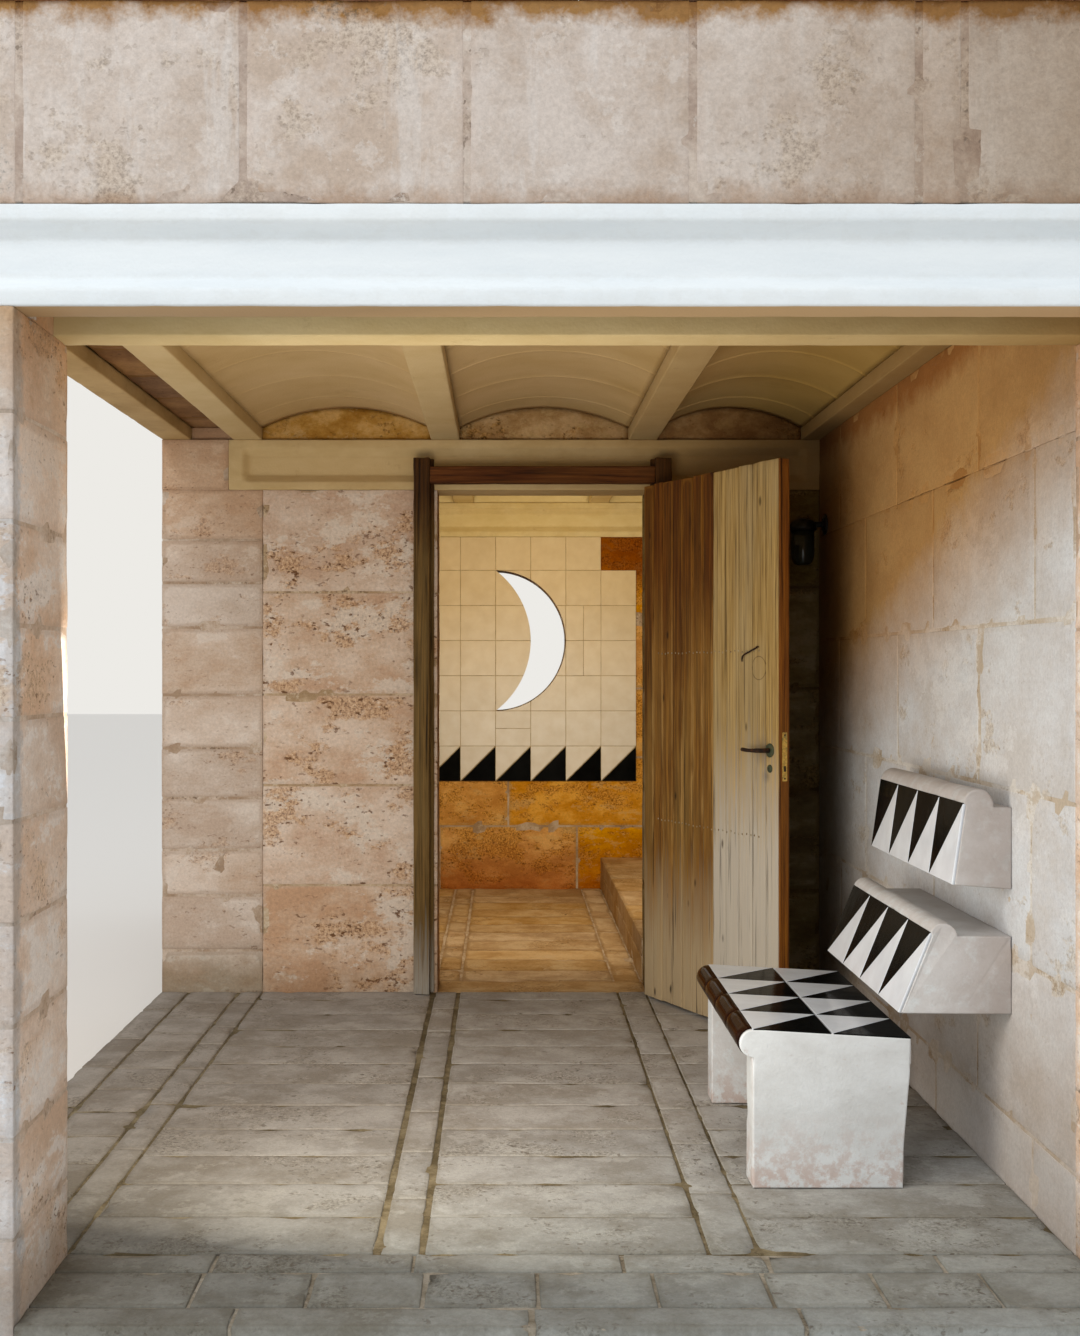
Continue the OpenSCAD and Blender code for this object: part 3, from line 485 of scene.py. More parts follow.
stone = {"beds": 1.8, "patch": 420, "wearSize": 300, "wearFrom": 0.55, "worn": 0.7, "grain": 9, "speckle": 0.1,
         "pore": 18, "pores": 0.7, "crustSize": 210, "crustFrom": 0.56, "crust": 0.6, "smear": 0.75,
         "spread": 0.05, "stains": []}
mortar = dict(stone, beds=1.0, patch=120, wearFrom=0.56, worn=0.4, smear=0.0, spread=0.02, crustSize=90)
# the facade darkens towards its right end as painted shade, and turns darker and orange at the top under the
# coping
facadeShadeAndStains = [("X", 0.1, 1.3, "#B8A282", 0.95), ("Z", 2.68, 2.72, "#C09450", 0.95)]
# the pillars' street faces turn cooler as painted cool daylight; the grey foot is a real stain
pillarDaylightAndStains = [("Y", -2.9, -2.925, "#DDE8F4", 1.0), ("Z", 0.36, 0.2, "#B4B2AC", 0.6)]
# right wall: painted warm light up and away from the street, partly golden staining; painted shade at the far
# corner
wallLightShadeAndStains = [("slope", 0.915, 1.38, "#DCA65C", 0.95), ("Y", -0.55, -0.05, "#8E8262", 0.8),
              # painted shade under the bench, darker towards the floor
              ("Z", 0.85, 0.5, "#E3D8CE", 0.95)]
# the parapet's stone also darkens at its foot, above the lintel
facadeStone = sandstone(
    "facade_sandstone", stone, "#C9C0B9 #C1B6AD #B8AA9E #C6BAAB #B4A594 #8A7B6C #CFC8C2 #BBABA0", beds=1.0,
    patch=200, wearFrom=0.56, worn=0.5, pores=0.4, crustSize=90, crust=0.45, smear=0.25, rain="#CDC8C4",
    lichen="#96938D", stains=[*facadeShadeAndStains, ("Z", 2.375, 2.33, "#D2B79C", 0.6)])
pillarStone = sandstone(
    "pillar_sandstone", stone, "#C9BBAF #BEAD9E #B59F8C #C6B199 #AE8D70 #735740 #CDC3B9 #A5907E", wearFrom=0.57,
    worn=0.5, crust=0.55, smear=0.5,
    stains=[("Z", 0.36, 0.2, "#AFB0A0", 0.7), ("Z", 1.75, 2.2, "#F0CDA0", 0.6)])
# a lightened copy of the pillar sandstone: painted light on the front pillars' dimly lit inner faces
frontStoneLightened = sandstone(
    "front_pillar_sandstone_lightened", stone, "#EFE2D7 #E7D4C4 #DCC1AA #E8D3B8 #D0AF8E #80634B #F1ECE8 #CDB6A3",
    wearFrom=0.57, worn=0.45, crustFrom=0.53, crust=0.6, smear=0.4,
    stains=[*pillarDaylightAndStains, ("Z", 1.75, 2.15, "#E8C08A", 0.8)])
doorStone = sandstone(
    "door_wall_sandstone", stone, "#D0BFB0 #C6AF9B #BC9E86 #CEB496 #B38D69 #64432A #D2C8BD #C0AA97", beds=1.6,
    patch=340, wearSize=360, wearFrom=0.53, worn=0.75, grain=13, pore=24, pores=0.9, crustSize=300,
    crustFrom=0.53, crust=0.7, speckle=0.13, smear=0.4,
    stains=[("Z", 0.3, 0.18, "#B9AE9C", 0.5), ("Y", 0.05, 0.09, "#C8A070", 0.8)])
shadedStone = sandstone(
    "shaded_sandstone", stone, "#8A7A5A #74643F #5E4C2C #8A744A #6B5530 #37280F #8F836A #62512F", beds=2.4,
    grain=13, pores=0.6, crust=0.35)
washedStone = sandstone(
    "washed_sandstone", stone, "#D6DBE0 #D0D2D5 #C9C8C7 #D2CBBC #C1B198 #8A7358 #DEE1E4 #CDC8C0", patch=520,
    wearFrom=0.6, worn=0.5, pores=0.3, smear=0.2, crust=0.5, crustSize=330, spread=0.02,
    stains=[*wallLightShadeAndStains, ("Z", 2.22, 2.29, "#C89C68", 0.75)])
washedJoint = sandstone(
    "washed_joint", stone, "#D3D1CC #CAC4BA #BFB3A2 #CABEA9 #B4A184 #80694D #D9D8D5 #CAC4BA", worn=0.5, pores=0.3,
    crustFrom=0.48, crust=0.75, smear=0.0, spread=0.0, stains=wallLightShadeAndStains)
brownStone = sandstone(
    "brown_sandstone", stone, "#DDAB58 #CE9641 #BC8231 #DAA952 #B98031 #5A3612 #D0AE70 #B0905A", patch=220,
    wearSize=200, wearFrom=0.5, crust=0.45, crustSize=150, smear=0.4, spread=0.04,
    stains=[("Z", 0.45, 0.12, "#C98A50", 0.85), ("Z", 1.85, 1.98, "#A87A4A", 0.9)])
infillStone = sandstone(
    "rough_infill", stone, "#BC9A66 #A7824A #946D38 #B58F58 #8C6735 #4F3515 #B99F70 #A5844F", beds=1.4, patch=160,
    worn=0.8, grain=14, crustSize=130, crust=0.5, smear=0.3, spread=0.05,
    stains=[("X", 0.0, 0.8, "#A88E66", 0.8)])
edgeStone = sandstone(
    "edge_infill_sandstone", stone, "#8A6438 #75502A #61401F #80592E #5F3F1E #38230D #8C6A40 #6B4A25", grain=14,
    crust=0.3)
# the paving darkens towards the left as painted shade, and towards the street as painted cool shade
pavingStone = sandstone(
    "paving_sandstone", stone, "#B3B1AE #A5A29E #97928B #B5B2AC #958F86 #645C52 #BEBCB8 #7E7667", beds=1.0,
    patch=240, wearFrom=0.56, worn=0.5, smear=0.3, spread=0.06, crust=0.45,
    stains=[("X", 0.1, -1.3, "#CEC6BC", 0.85), ("Y", -1.6, -2.7, "#D8DFDE", 1.0)])
innerPaving = sandstone(
    "inner_paving_sandstone", stone, "#C3A880 #B5966A #A28155 #C1A377 #9F7D4E #654928 #C9B491 #84653C", beds=1.0,
    patch=240, wearFrom=0.56, worn=0.5, smear=0.5, spread=0.07, crust=0.4)
frontMortar = sandstone(
    "front_pillar_mortar", mortar, "#DECFC0 #CEBAA8 #BEA792 #D5C3B0 #B89D84 #846C58 #E2D8CE #CEBAA8",
    stains=pillarDaylightAndStains)
facadeMortar = sandstone(
    "grey_lime_mortar", mortar, "#C3B8AE #B4A69B #A49489 #BDAF9F #9A8877 #6E6053 #CBC4BD #B4A69B",
    stains=facadeShadeAndStains)
pinkMortar, grout, paleMortar, darkMortar, soilMortar, greyMortar = [
    sandstone(name, mortar, codes) for name, codes in (
        ("pink_lime_mortar", "#BDAEA0 #AB9987 #9B8672 #B6A38D #937D67 #685543 #C3B8AC #AB9987"),
        ("tile_grout", "#BFB08E #AE9D78 #9C8A66 #B6A581 #93825E #6A5A3C #C4B698 #AE9D78"),
        ("lime_mortar", "#C3B29C #B29D83 #9F886C #BBA587 #93795A #665139 #C9BBA6 #B29D83"),
        ("shaded_mortar", "#6E5C3B #5D4B2D #4C3C22 #6A5734 #4F3E22 #2C2010 #6E5C3B #5D4B2D"),
        ("soil_filled_joint", "#827861 #695F4A #554C39 #7F745D #5A503C #393121 #776C56 #695F4A"),
        ("grey_paving_mortar", "#A09A8E #8C8577 #787061 #9C9484 #756C5C #4E473B #AAA498 #8C8577"))]
screed = sandstone(
    "roof_screed", mortar, "#B6ABA0 #ABA093 #A09485 #AFA496 #9C907F #6F6455 #BCB3A8 #A4967F", patch=700, worn=0.3,
    crust=0.3, crustSize=240, pores=0.3)
terracotta = sandstone(
    "terracotta", stone, "#B98562 #A06A49 #8B5537 #AF7D58 #8D5B3C #4F3021 #B6A48F #96684A", patch=180, spread=0.12)
whitePaint = limePaint("white_painted_concrete", "#E4EBEF #DCE4E9 #C8C8C3", {
    "brush": (2.0, 14.0, 14.0), "spot": 60, "wornFrom": 0.68, "worn": 0.3, "rubbed": 0.12, "rough": 0.6,
    "back": "#C3A57C", "soffit": 2.135, "front": -2.955})
oldLime = {"brush": (3.0, 3.0, 7.0), "spot": 130, "wornFrom": 0.62, "worn": 0.4, "rubbed": 0.15, "rough": 0.82}
# the joists and lintels darken towards the right and turn greyer towards the street
limewash = limePaint("limewashed_concrete", "#E0CC9C #D2BB87 #B89F6E", dict(
    oldLime, stains=[("X", -0.2, 1.0, "#BEA678", 0.75), ("Y", -2.5, -1.6, "#E0DAD6", 1.0)]))
innerWash = limePaint("inner_limewash", "#EADAA6 #DCC88C #B1935C", dict(oldLime, brush=(3.0, 3.0, 5.0)))
# a darker copy of the joists' limewash: painted shade on the vaults, deeper towards the right
vaultWashShaded = limePaint("limewashed_vault", "#C5AA7D #B99D6C #A08455", {
    "brush": (2.0, 3.0, 3.0), "spot": 200, "wornFrom": 0.6, "worn": 0.25, "rubbed": 0.0, "rough": 0.85,
    "stains": [("X", 0.1, 0.9, "#D6C885", 0.8)]})
edgeWash = limePaint("shaded_limewashed_concrete", "#B79A6A #A08252 #8A6C40", dict(
    oldLime, wornFrom=0.6, rubbed=0.2))
plaster = limePaint("trowelled_white_plaster", "#D4DADE #C4C8CA #B5A29A", {
    "brush": (7.0, 7.0, 11.0), "spot": 38, "wornFrom": 0.63, "worn": 0.45, "rubbed": 0.25, "rough": 0.75,
    "foot": 0.19, "stains": [("X", 0.9, 1.06, "#DCD2CC", 0.95)]})
# the ivory tiles turn warmer upwards: painted warm light
ivoryGlaze = glazedClay("ivory_glaze", "#ECEBE2 #E2DED0", 0.03, 0.22, 0.5, [("Z", 1.1, 1.9, "#FAE8C2", 1.0)])
blackGlaze = glazedClay("black_glaze", "#131414 #0A0B0B", 0.2, 0.12, 0.015)
whiteGlaze = glazedClay("white_glaze", "#E2EBF5 #D6DEE8", 0.03, 0.16, 0.4)
brownGlaze = glazedClay("brown_glaze", "#2A160E #180B07", 0.12, 0.1, 0.02)
upright = {"grainScale": (120.0, 120.0, 2.8), "patchScale": (6.0, 6.0, 1.1), "checkScale": (70.0, 70.0, 1.6),
           "knotScale": (12.0, 12.0, 5.0)}
lying = {"grainScale": (3.0, 90.0, 90.0), "patchScale": (1.4, 5.0, 5.0), "checkScale": (1.8, 60.0, 60.0),
         "knotScale": (5.0, 12.0, 12.0)}
brownBoard = weatheredWood(
    "brown_weathered_pine", upright, "#3E260C #704B1C #9A6F2E #A2874C #1E1205 #B08C52", rubbed=0.7, spread=0.2,
    silvering=0.3, knots=0.85, lines=0.8, foot="#B9A786", footTop=0.8, stains=[("Z", 1.2, 1.8, "#C2A468", 1.0)])
greyBoard = weatheredWood(
    "silvered_weathered_pine", upright, "#66502C #A0844F #C2A66C #AC9B76 #2C1D0A #8A774E", rubbed=0.15,
    spread=0.05, silvering=0.5, knots=0.7, lines=0.62, foot="#C9C5BB", footTop=1.25,
    marks=[((0.737, -0.772, 1.145), 0.0, 0.075, "#4E3B20", 0.6),
           ((0.748, -0.79, 1.06), 0.0, 0.035, "#2E1F0E", 0.8),
           ((0.728, -0.752, 1.43), 0.04, 0.004, "#4E3B20", 0.7)])
edgeBoard = weatheredWood(
    "oiled_pine_edge", upright, "#482408 #764412 #9C621C #805A26 #201004 #5E3410", rubbed=0.4, spread=0.05,
    silvering=0.2, knots=0.7, lines=0.75)
frameTimber = weatheredWood(
    "weathered_frame_timber", upright, "#2E2010 #54401F #75592F #806A40 #1A1006 #664D28", rubbed=0.4, spread=0.08,
    silvering=0.4, knots=0.5, lines=0.7, foot="#A9A8A3", footTop=0.5, stains=[("Z", 1.85, 2.1, "#B08A5C", 0.9)])
headTimber = weatheredWood(
    "weathered_head_timber", lying, "#2A1405 #4C270A #673C18 #66461F #1A0E05 #4E2E10", rubbed=0.4, spread=0.08,
    silvering=0.25, knots=0.4, lines=0.7)
forgedIron = oldMetal("forged_iron", "#2E2724 #3D302A #5E3B26", 14, 0.62, 0.7)
brightNail = oldMetal("worn_nail", "#B9AE94 #A39576 #6E5636", 9, 0.5, 0.5)
greenBrass = oldMetal("verdigris_brass", "#5E5A3A #4C5540 #3F5A4B", 10, 0.5, 0.5)
brass = oldMetal("tarnished_brass", "#E6C264 #CBA24C #7C8258", 12, 0.4, 0.4)
lampMetal = oldMetal("lamp_metal", "#191B1C #212423 #34302B", 22, 0.4, 0.5)
print("materials ready:", len(bpy.data.materials))

blockLook = {"round": 4, "step": 25, "rough": 0.9, "broad": 120, "fine": 36, "chip": 9, "chipCell": 50,
             "chipReach": 22, "gap": 9, "sunk": 1.0}
nearLook = dict(blockLook, step=34)
backLook = dict(blockLook, step=50)
mortarLook = {"round": 5, "step": 80, "rough": 0.3, "broad": 60, "fine": 25}
pavingLook = {"round": 6, "step": 33, "rough": 1.2, "broad": 100, "fine": 32, "chip": 10, "chipCell": 50,
              "chipReach": 28}
innerLook = dict(pavingLook, step=42)

# the plan's lines in millimetres: x from the left pillar's inner edge, y from the front face, z from the floor
leftX, roomX, wallX, rightX = -400, 2205, 2405, 2605
pillarY, doorY, meetY, innerY, backY, moonY, rearY = 360, 2980, 3080, 3180, 3340, 5720, 5920
outdoorY = 5915  # faces beyond it are the rear wall's outside
groundZ, lintelZ, joistZ, roofZ, parapetZ = -150, 1985, 2185, 2385, 2580
innerLintelZ, innerJoistZ, innerRoofZ = [z + 56 for z in (lintelZ, joistZ, roofZ)]
topCourseZ = 1800  # the long walls' last bed joint
blockLength = 800


def mortarBed(low, high):
    # mortar behind or under the blocks
    return block(low, high, 2, mortarLook, 0.5, 1)


def bond(low, high, first, odd=0):
    # joints every block length, moved by half a block on every other course, with a little play
    def joints(row):
        cuts = np.arange(low + first + (row + odd) % 2 * blockLength / 2, high, blockLength)
        cuts = cuts + rng.uniform(-14, 14, len(cuts))
        return [c for c in cuts if low + 120 < c < high - 120]
    return joints


def layWall(low, high, along, look=blockLook, beds=(), joints=lambda row: []):
    # courses of blocks between the bed joints' levels, each with its own joints, over a mortar core that stands a
    # little back
    low = np.asarray(low, float)
    high = np.asarray(high, float)
    gap = look["gap"] / 2
    parts = []
    for row, (z0, z1) in enumerate(pairwise([low[2], *beds, high[2]])):
        for start, end in pairwise([low[along], *joints(row), high[along]]):
            a = low.copy()
            b = high.copy()
            a[along] = start + (gap if start > low[along] else 0)
            b[along] = end - (gap if end < high[along] else 0)
            a[2] = z0 + (gap if row else 0)
            b[2] = z1 - (gap if row < len(beds) else 0)
            parts.append(block(a, b, 2, look))
    sunk = np.array([look["sunk"], look["sunk"], 2.0])
    parts.append(mortarBed(low + sunk, high - sunk))
    return parts


pillarBeds = [165, 360, 580, 780, 980, 1180, 1364, 1566, 1780]
for side, x in (("left", 0), ("right", rightX)):
    parts = layWall([x - 400, 0, groundZ], [x, pillarY, lintelZ], 0, dict(blockLook, gap=7, chip=5), pillarBeds)
    parts += layWall([x - 400, 98, lintelZ], [x, 262, joistZ], 0, backLook)
    makePiece(f"pillar_{side}_blocks", parts, [frontStoneLightened, frontMortar], f"front_{side}_pillar")

backBeds = [162, 380, 560, 765, 963, 1173, 1440, 1617, 1787]
parts = layWall([leftX, doorY, groundZ], [0, backY, lintelZ], 0, beds=backBeds)
parts += layWall([leftX, doorY, lintelZ], [-135, backY, joistZ], 0)
parts += layWall([-135, innerY, lintelZ], [0, backY, joistZ], 0, backLook)
parts.append(block([-286, 3000, joistZ], [-119, meetY, joistZ + 50], 2, backLook))
makePiece("back_pillar_blocks", parts, [pillarStone, pinkMortar], "back_left_pillar")

wallBeds = [170, 570, 980, 1390]
parts = layWall([roomX, pillarY, groundZ], [wallX, rearY, topCourseZ], 1, nearLook, wallBeds,
                bond(pillarY, rearY, 260))
for x, y0, y1, z0, z1, look in ((roomX, pillarY, meetY, topCourseZ, joistZ, nearLook),
                                (roomX, meetY, rearY, topCourseZ, innerJoistZ, backLook),
                                (2249, pillarY, meetY, joistZ, roofZ, backLook),
                                (2249, meetY, rearY, innerJoistZ, innerRoofZ, backLook)):
    parts += layWall([x, y0, z0], [wallX, y1, z1], 1, look, joints=bond(y0, y1, 260, 1))
piece = makePiece("right_wall_blocks", parts, [washedStone, washedJoint, pillarStone, pinkMortar],
                  "right_wall")
faceOutdoors(piece, 2, outdoorY, 2400)

parts = layWall([leftX, backY, groundZ], [0, rearY, innerLintelZ], 1, backLook, [*wallBeds, topCourseZ],
                bond(backY, rearY, 300))
parts += layWall([leftX, backY, innerLintelZ], [0, moonY, innerJoistZ], 1, backLook,
                 joints=bond(backY, moonY, 300, 1))
parts += layWall([leftX, moonY, innerLintelZ], [-135, rearY, innerJoistZ], 1, backLook)
parts += layWall([leftX, meetY, innerJoistZ], [-119, rearY, innerRoofZ], 1, backLook,
                 joints=bond(backY, rearY, 300))
parts.append(block([leftX, meetY, joistZ], [0, backY, innerJoistZ], 2, backLook))
makePiece("vestibule_wall_blocks", parts, [pillarStone, pinkMortar], "vestibule_left_wall")

parts = layWall([0, doorY, groundZ], [691, innerY, lintelZ], 0, dict(blockLook, gap=7), [420, 816, 1175, 1580])
makePiece("door_wall_left_blocks", parts, [doorStone, paleMortar], "door_wall_left")
parts = layWall([1521, doorY, groundZ], [roomX, innerY, lintelZ], 0, beds=[400, 800, 1200, 1600])
makePiece("door_wall_right_blocks", parts, [shadedStone, darkMortar], "door_wall_right")

parapetJoints = [11, 447, 883, 1323, 1763, 1852, 2201]
parts = layWall([leftX, 0, joistZ], [rightX, pillarY, parapetZ], 0, dict(blockLook, step=24, gap=13),
                joints=lambda row: parapetJoints)
makePiece("parapet_blocks", parts, [facadeStone, facadeMortar], "front_parapet")
print("walls laid")

# moon wall: blocks and tiles cut by the crescent, which reaches from the low to the high corner in x and z
moon = {"x": 906, "z": 1439, "outer": 408, "inner": 510, "innerX": 600, "low": (895, 1028),
        "high": (1318, 1850)}
# the crescent's outer half circle goes from its lower tip to the upper one, and its inner arc back down
outerArc = np.linspace(-math.pi / 2, math.pi / 2, 72)
tip = math.atan2(moon["outer"], moon["x"] - moon["innerX"])
innerArc = np.linspace(tip, -tip, 72)[1:-1]
moonX = np.concatenate([moon["x"] + moon["outer"] * np.cos(outerArc),
                        moon["innerX"] + moon["inner"] * np.cos(innerArc)])
moonZ = np.concatenate([moon["z"] + moon["outer"] * np.sin(outerArc),
                        moon["z"] + moon["inner"] * np.sin(innerArc)])
moonPrism = skin(np.stack([np.stack([moonX, np.full(len(moonX), y), moonZ], axis=1) for y in (5680.0, 5950.0)]))


def rawObject(part):
    # a bare mesh object of one solid, for cutting only
    mesh = bpy.data.meshes.new("cutting")
    mesh.from_pydata(part["co"].tolist(), [], part["quads"].tolist() + [c.tolist() for c in part["caps"]])
    piece = bpy.data.objects.new("cutting", mesh)
    bpy.context.scene.collection.objects.link(piece)
    return piece


def cutByMoon(part):
    # takes the crescent prism out of one solid where it reaches it
    low = part["co"].min(axis=0)
    high = part["co"].max(axis=0)
    if (low[[0, 2]] > moon["high"]).any() or (high[[0, 2]] < moon["low"]).any():
        return part
    body = rawObject(part)
    knife = rawObject(moonPrism)
    cut = body.modifiers.new("crescent", "BOOLEAN")
    cut.operation = "DIFFERENCE"
    cut.solver = "MANIFOLD"
    cut.object = knife
    mesh = body.evaluated_get(bpy.context.evaluated_depsgraph_get()).to_mesh()
    co = np.empty(len(mesh.vertices) * 3)
    mesh.vertices.foreach_get("co", co)
    co = co.reshape(-1, 3)
    corners = np.empty(len(mesh.loops), np.int32)
    mesh.loops.foreach_get("vertex_index", corners)
    starts = np.empty(len(mesh.polygons), np.int32)
    mesh.polygons.foreach_get("loop_start", starts)
    bpy.data.objects.remove(body)
    bpy.data.objects.remove(knife)
    # a point on a box's face is as far from the nearest edge as the second smallest of its distances to the faces
    rim = np.sort(np.minimum(co - low, high - co), axis=1)[:, 1]
    return dict(part, co=co, quads=np.empty((0, 4), int), caps=np.split(corners, starts[1:]), rim=rim)


moonJoints = [[580, 1379], [180, 980, 1780], [600, 1400], [400, 1210, 1900], [610, 1410]]
parts = layWall([0, moonY, groundZ], [roomX, rearY, innerLintelZ], 0, dict(blockLook, step=40),
                [361, 761, 1161, 1561], lambda row: moonJoints[row])
piece = makePiece("moon_wall_blocks", [cutByMoon(p) for p in parts],
                  [brownStone, paleMortar, pillarStone, pinkMortar], "moon_wall")
faceOutdoors(piece, 2, outdoorY)

moonTiles = {"columns": [0, 90, *range(294, 1723, 204)], "rows": [*range(623, 1848, 204), innerLintelZ],
             "half": 1.2, "saw": 5, "thick": 10, "edge": 1.6}  # half a joint, and a joint along a diagonal
onMoonWall = ([0, 5718, 0], [1, 0, 0], [0, 0, 1], [0, -1, 0])


def moonTile(corners, slot=0):
    return tile(corners, onMoonWall, moonTiles["thick"], moonTiles["edge"], slot)


def squareTile(x0, x1, z0, z1, slot=0):
    a, b, c, d = x0 + moonTiles["half"], x1 - moonTiles["half"], z0 + moonTiles["half"], z1 - moonTiles["half"]
    return moonTile([[a, c], [b, c], [b, d], [a, d]], slot)


parts = []
for i, (x0, x1) in enumerate(pairwise(moonTiles["columns"])):
    for j, (z0, z1) in enumerate(pairwise(moonTiles["rows"])):
        half, saw = moonTiles["half"], moonTiles["saw"]
        if i and not j:
            # sawtooth border: each tile is split along its diagonal into a dark and an ivory half
            parts.append(moonTile([[x0 + saw, z0 + half], [x1 - half, z0 + half], [x1 - half, z1 - saw]], 1))
            parts.append(moonTile([[x0 + half, z0 + saw], [x1 - saw, z1 - half], [x0 + half, z1 - half]]))
        elif i == 7 and j in (3, 4):
            parts.append(squareTile(x0, (x0 + x1) / 2, z0, z1))
            parts.append(squareTile((x0 + x1) / 2, x1, z0, z1))
        elif (i, j) == (5, 1):
            parts.append(squareTile(x0, x1, z0, (z0 + z1) / 2))
            parts.append(squareTile(x0, x1, (z0 + z1) / 2, z1))
        elif (i, j) != (8, 6):  # one tile is lost
            parts.append(squareTile(x0, x1, z0, z1, 0 if j else 1))
groutLook = {"round": 2, "step": 90, "rough": 0.2, "broad": 60, "fine": 25}
for x0, x1, top in ((0, 1518, innerLintelZ), (1510, 1722, 1847)):
    parts.append(block([x0, 5711.5, 623], [x1, 5721, top], 1, groutLook, 0.5, 2))
makePiece("moon_tiles", [cutByMoon(p) for p in parts], [ivoryGlaze, blackGlaze, grout],
          "moon_tile_panel")
print("moon wall cut")

slabs = {"half": 3.0, "end": 1}  # half a joint between two slabs, and the gap at a strip's ends


def paveStrip(x0, x1, ys, left, right, low=-60.0, look=pavingLook):
    # slabs across one strip: side joints of the given widths, thin joints between the slabs
    parts = []
    for y0, y1 in pairwise(ys):
        gapLow = slabs["half" if y0 > ys[0] else "end"]
        gapHigh = slabs["half" if y1 < ys[-1] else "end"]
        lift = rng.uniform(-1.5, 0.0)
        parts.append(block([x0 + left, y0 + gapLow, low], [x1 - right, y1 - gapHigh, lift], 0, look))
    return parts


def unevenCuts(low, high, short, long):
    # joints at uneven steps between a short and a long length
    cuts = [low]
    while cuts[-1] + long < high:
        cuts.append(cuts[-1] + rng.uniform(short, long))
    return [*cuts, high]


planks = [pillarY, 577, 798, 1010, 1234, 1459, 1685, 1916, 2137, 2368, 2600, 2838, doorY]
parts = paveStrip(leftX, -290, unevenCuts(pillarY, doorY, 260, 460), 0, 4, -150.0)
parts += paveStrip(-290, -92, [pillarY, 520, *[p - 60 for p in planks[2:-1]], doorY], 4, 4)
parts += paveStrip(-92, 0, unevenCuts(pillarY, doorY, 230, 420), 4, 3)
parts += paveStrip(0, 675, planks, 4, 7)
parts += paveStrip(675, 777, unevenCuts(pillarY, doorY, 180, 420), 9, 9)
parts += paveStrip(777, 1404, planks, 6, 4)
parts += paveStrip(1404, 1515, unevenCuts(pillarY, doorY, 260, 520), 4, 3)
parts += paveStrip(1515, roomX, planks, 3, 1)
parts.append(mortarBed([-396, 361, groundZ], [roomX, doorY, -5]))
makePiece("porch_paving", parts, [pavingStone, soilMortar], "porch_floor")

parts = []
for y0, y1, cuts in ((0, 89, [0, 420, 1010, 1545, roomX]),
                     (89, 261, [0, 320, 555, 790, 1025, 1268, 1500, 1730, 1960, roomX]),
                     (261, pillarY, [0, 330, 760, 1211, 1524, 1895, roomX])):
    for x0, x1 in pairwise(cuts):
        low = [x0 + (4 if x0 else 0), y0 + (3 if y0 else 0), groundZ]
        high = [x1 - (4 if x1 < roomX else 0), y1 - 3, rng.uniform(-1.5, 0)]
        parts.append(block(low, high, 0, pavingLook))
parts.append(mortarBed([1, 4, groundZ], [2204, pillarY, -6]))
makePiece("threshold_paving", parts, [pavingStone, greyMortar], "threshold_course")

innerPlanks = [innerY, *np.arange(3390, 5620, 225), moonY]
parts = []
for x0, x1, ys, left, right in ((0, 675, innerPlanks, 1, 5),
                                (675, 777, unevenCuts(innerY, moonY, 180, 420), 6, 6),
                                (777, 1404, innerPlanks, 5, 4),
                                (1404, 1515, unevenCuts(innerY, moonY, 260, 520), 4, 3),
                                (1515, roomX, [innerY, 3900, 4600, 5300, moonY], 3, 1),
                                (691, 1521, [doorY, innerY + 1], 1, 1)):
    parts += paveStrip(x0, x1, ys, left, right, look=innerLook)
parts.append(mortarBed([0, innerY, groundZ], [roomX, moonY, -5]))
parts.append(mortarBed([691, doorY, groundZ], [1521, 3190, -6]))
makePiece("vestibule_paving", parts, [innerPaving, paleMortar], "vestibule_floor")

parts = []
for y0, y1 in pairwise([innerY, 3590, 3990, 4420, 4850, 5260, moonY]):
    for z0, z1 in ((0, 93), (97, 180)):
        parts.append(block([1515, y0 + 3, z0], [roomX, y1 - 3, z1], 0, innerLook))
parts.append(mortarBed([1520, innerY, 0], [roomX, moonY, 174]))
makePiece("ledge_blocks", parts, [innerPaving, paleMortar], "vestibule_ledge")
print("paving laid")

beamLook = {"round": 5, "step": 22, "along": 45, "rough": 0.5, "broad": 240, "fine": 50, "chip": 3,
            "chipCell": 45, "chipReach": 10}
innerBeamLook = dict(beamLook, along=95)
ends = {"solid": 50.0, "fade": 34.0}  # a lintel's full section at its ends, and how its recesses run out
beam = {"tall": 200, "joistWide": 114, "half": 49}  # half is half a lintel's width
joistXs = [-62, 722, 1506, 2192]


def beamOutline(width, edge, web, middle, foot):
    # I section with coved flanges: across is the first coordinate, height the second
    cove = (width - web) / 2
    tall = beam["tall"]
    right = [[width / 2, 0], [width / 2, edge], [web / 2, edge + cove], [web / 2, tall - edge - cove],
             [width / 2, tall - edge], [width / 2, tall]]
    left = [[-x, z] for x, z in right[::-1]]
    return np.array(right + left) + [middle, foot]


def lintel(x0, x1, y, foot, edge=32, slot=0):
    # the I section runs out to a full one towards both ends: points between the flanges move out to the faces,
    # by a smoothstep of how near the end they are
    middle = y + beam["half"]
    lead = ends["solid"] + ends["fade"] * np.linspace(0, 1, 6)
    part = sweep(beamOutline(2 * beam["half"], edge, 38, middle, foot), 0, x0, x1, beamLook, rng.random(), slot,
                 np.concatenate([x0 + lead, x1 - lead]))
    co = part["co"]
    toEnd = np.minimum(co[:, 0] - x0, x1 - co[:, 0])
    full = np.clip((ends["solid"] + ends["fade"] - toEnd) / ends["fade"], 0, 1)
    full = full * full * (3 - 2 * full) * ((co[:, 2] > foot + 16) & (co[:, 2] < foot + 184))
    side = co[:, 1] - middle
    co[:, 1] += (np.sign(side) * beam["half"] - side) * full
    return part


def joist(x, y0, y1, foot, look=beamLook):
    return sweep(beamOutline(beam["joistWide"], 50, 44, x, foot), 1, y0, y1, look, rng.random())


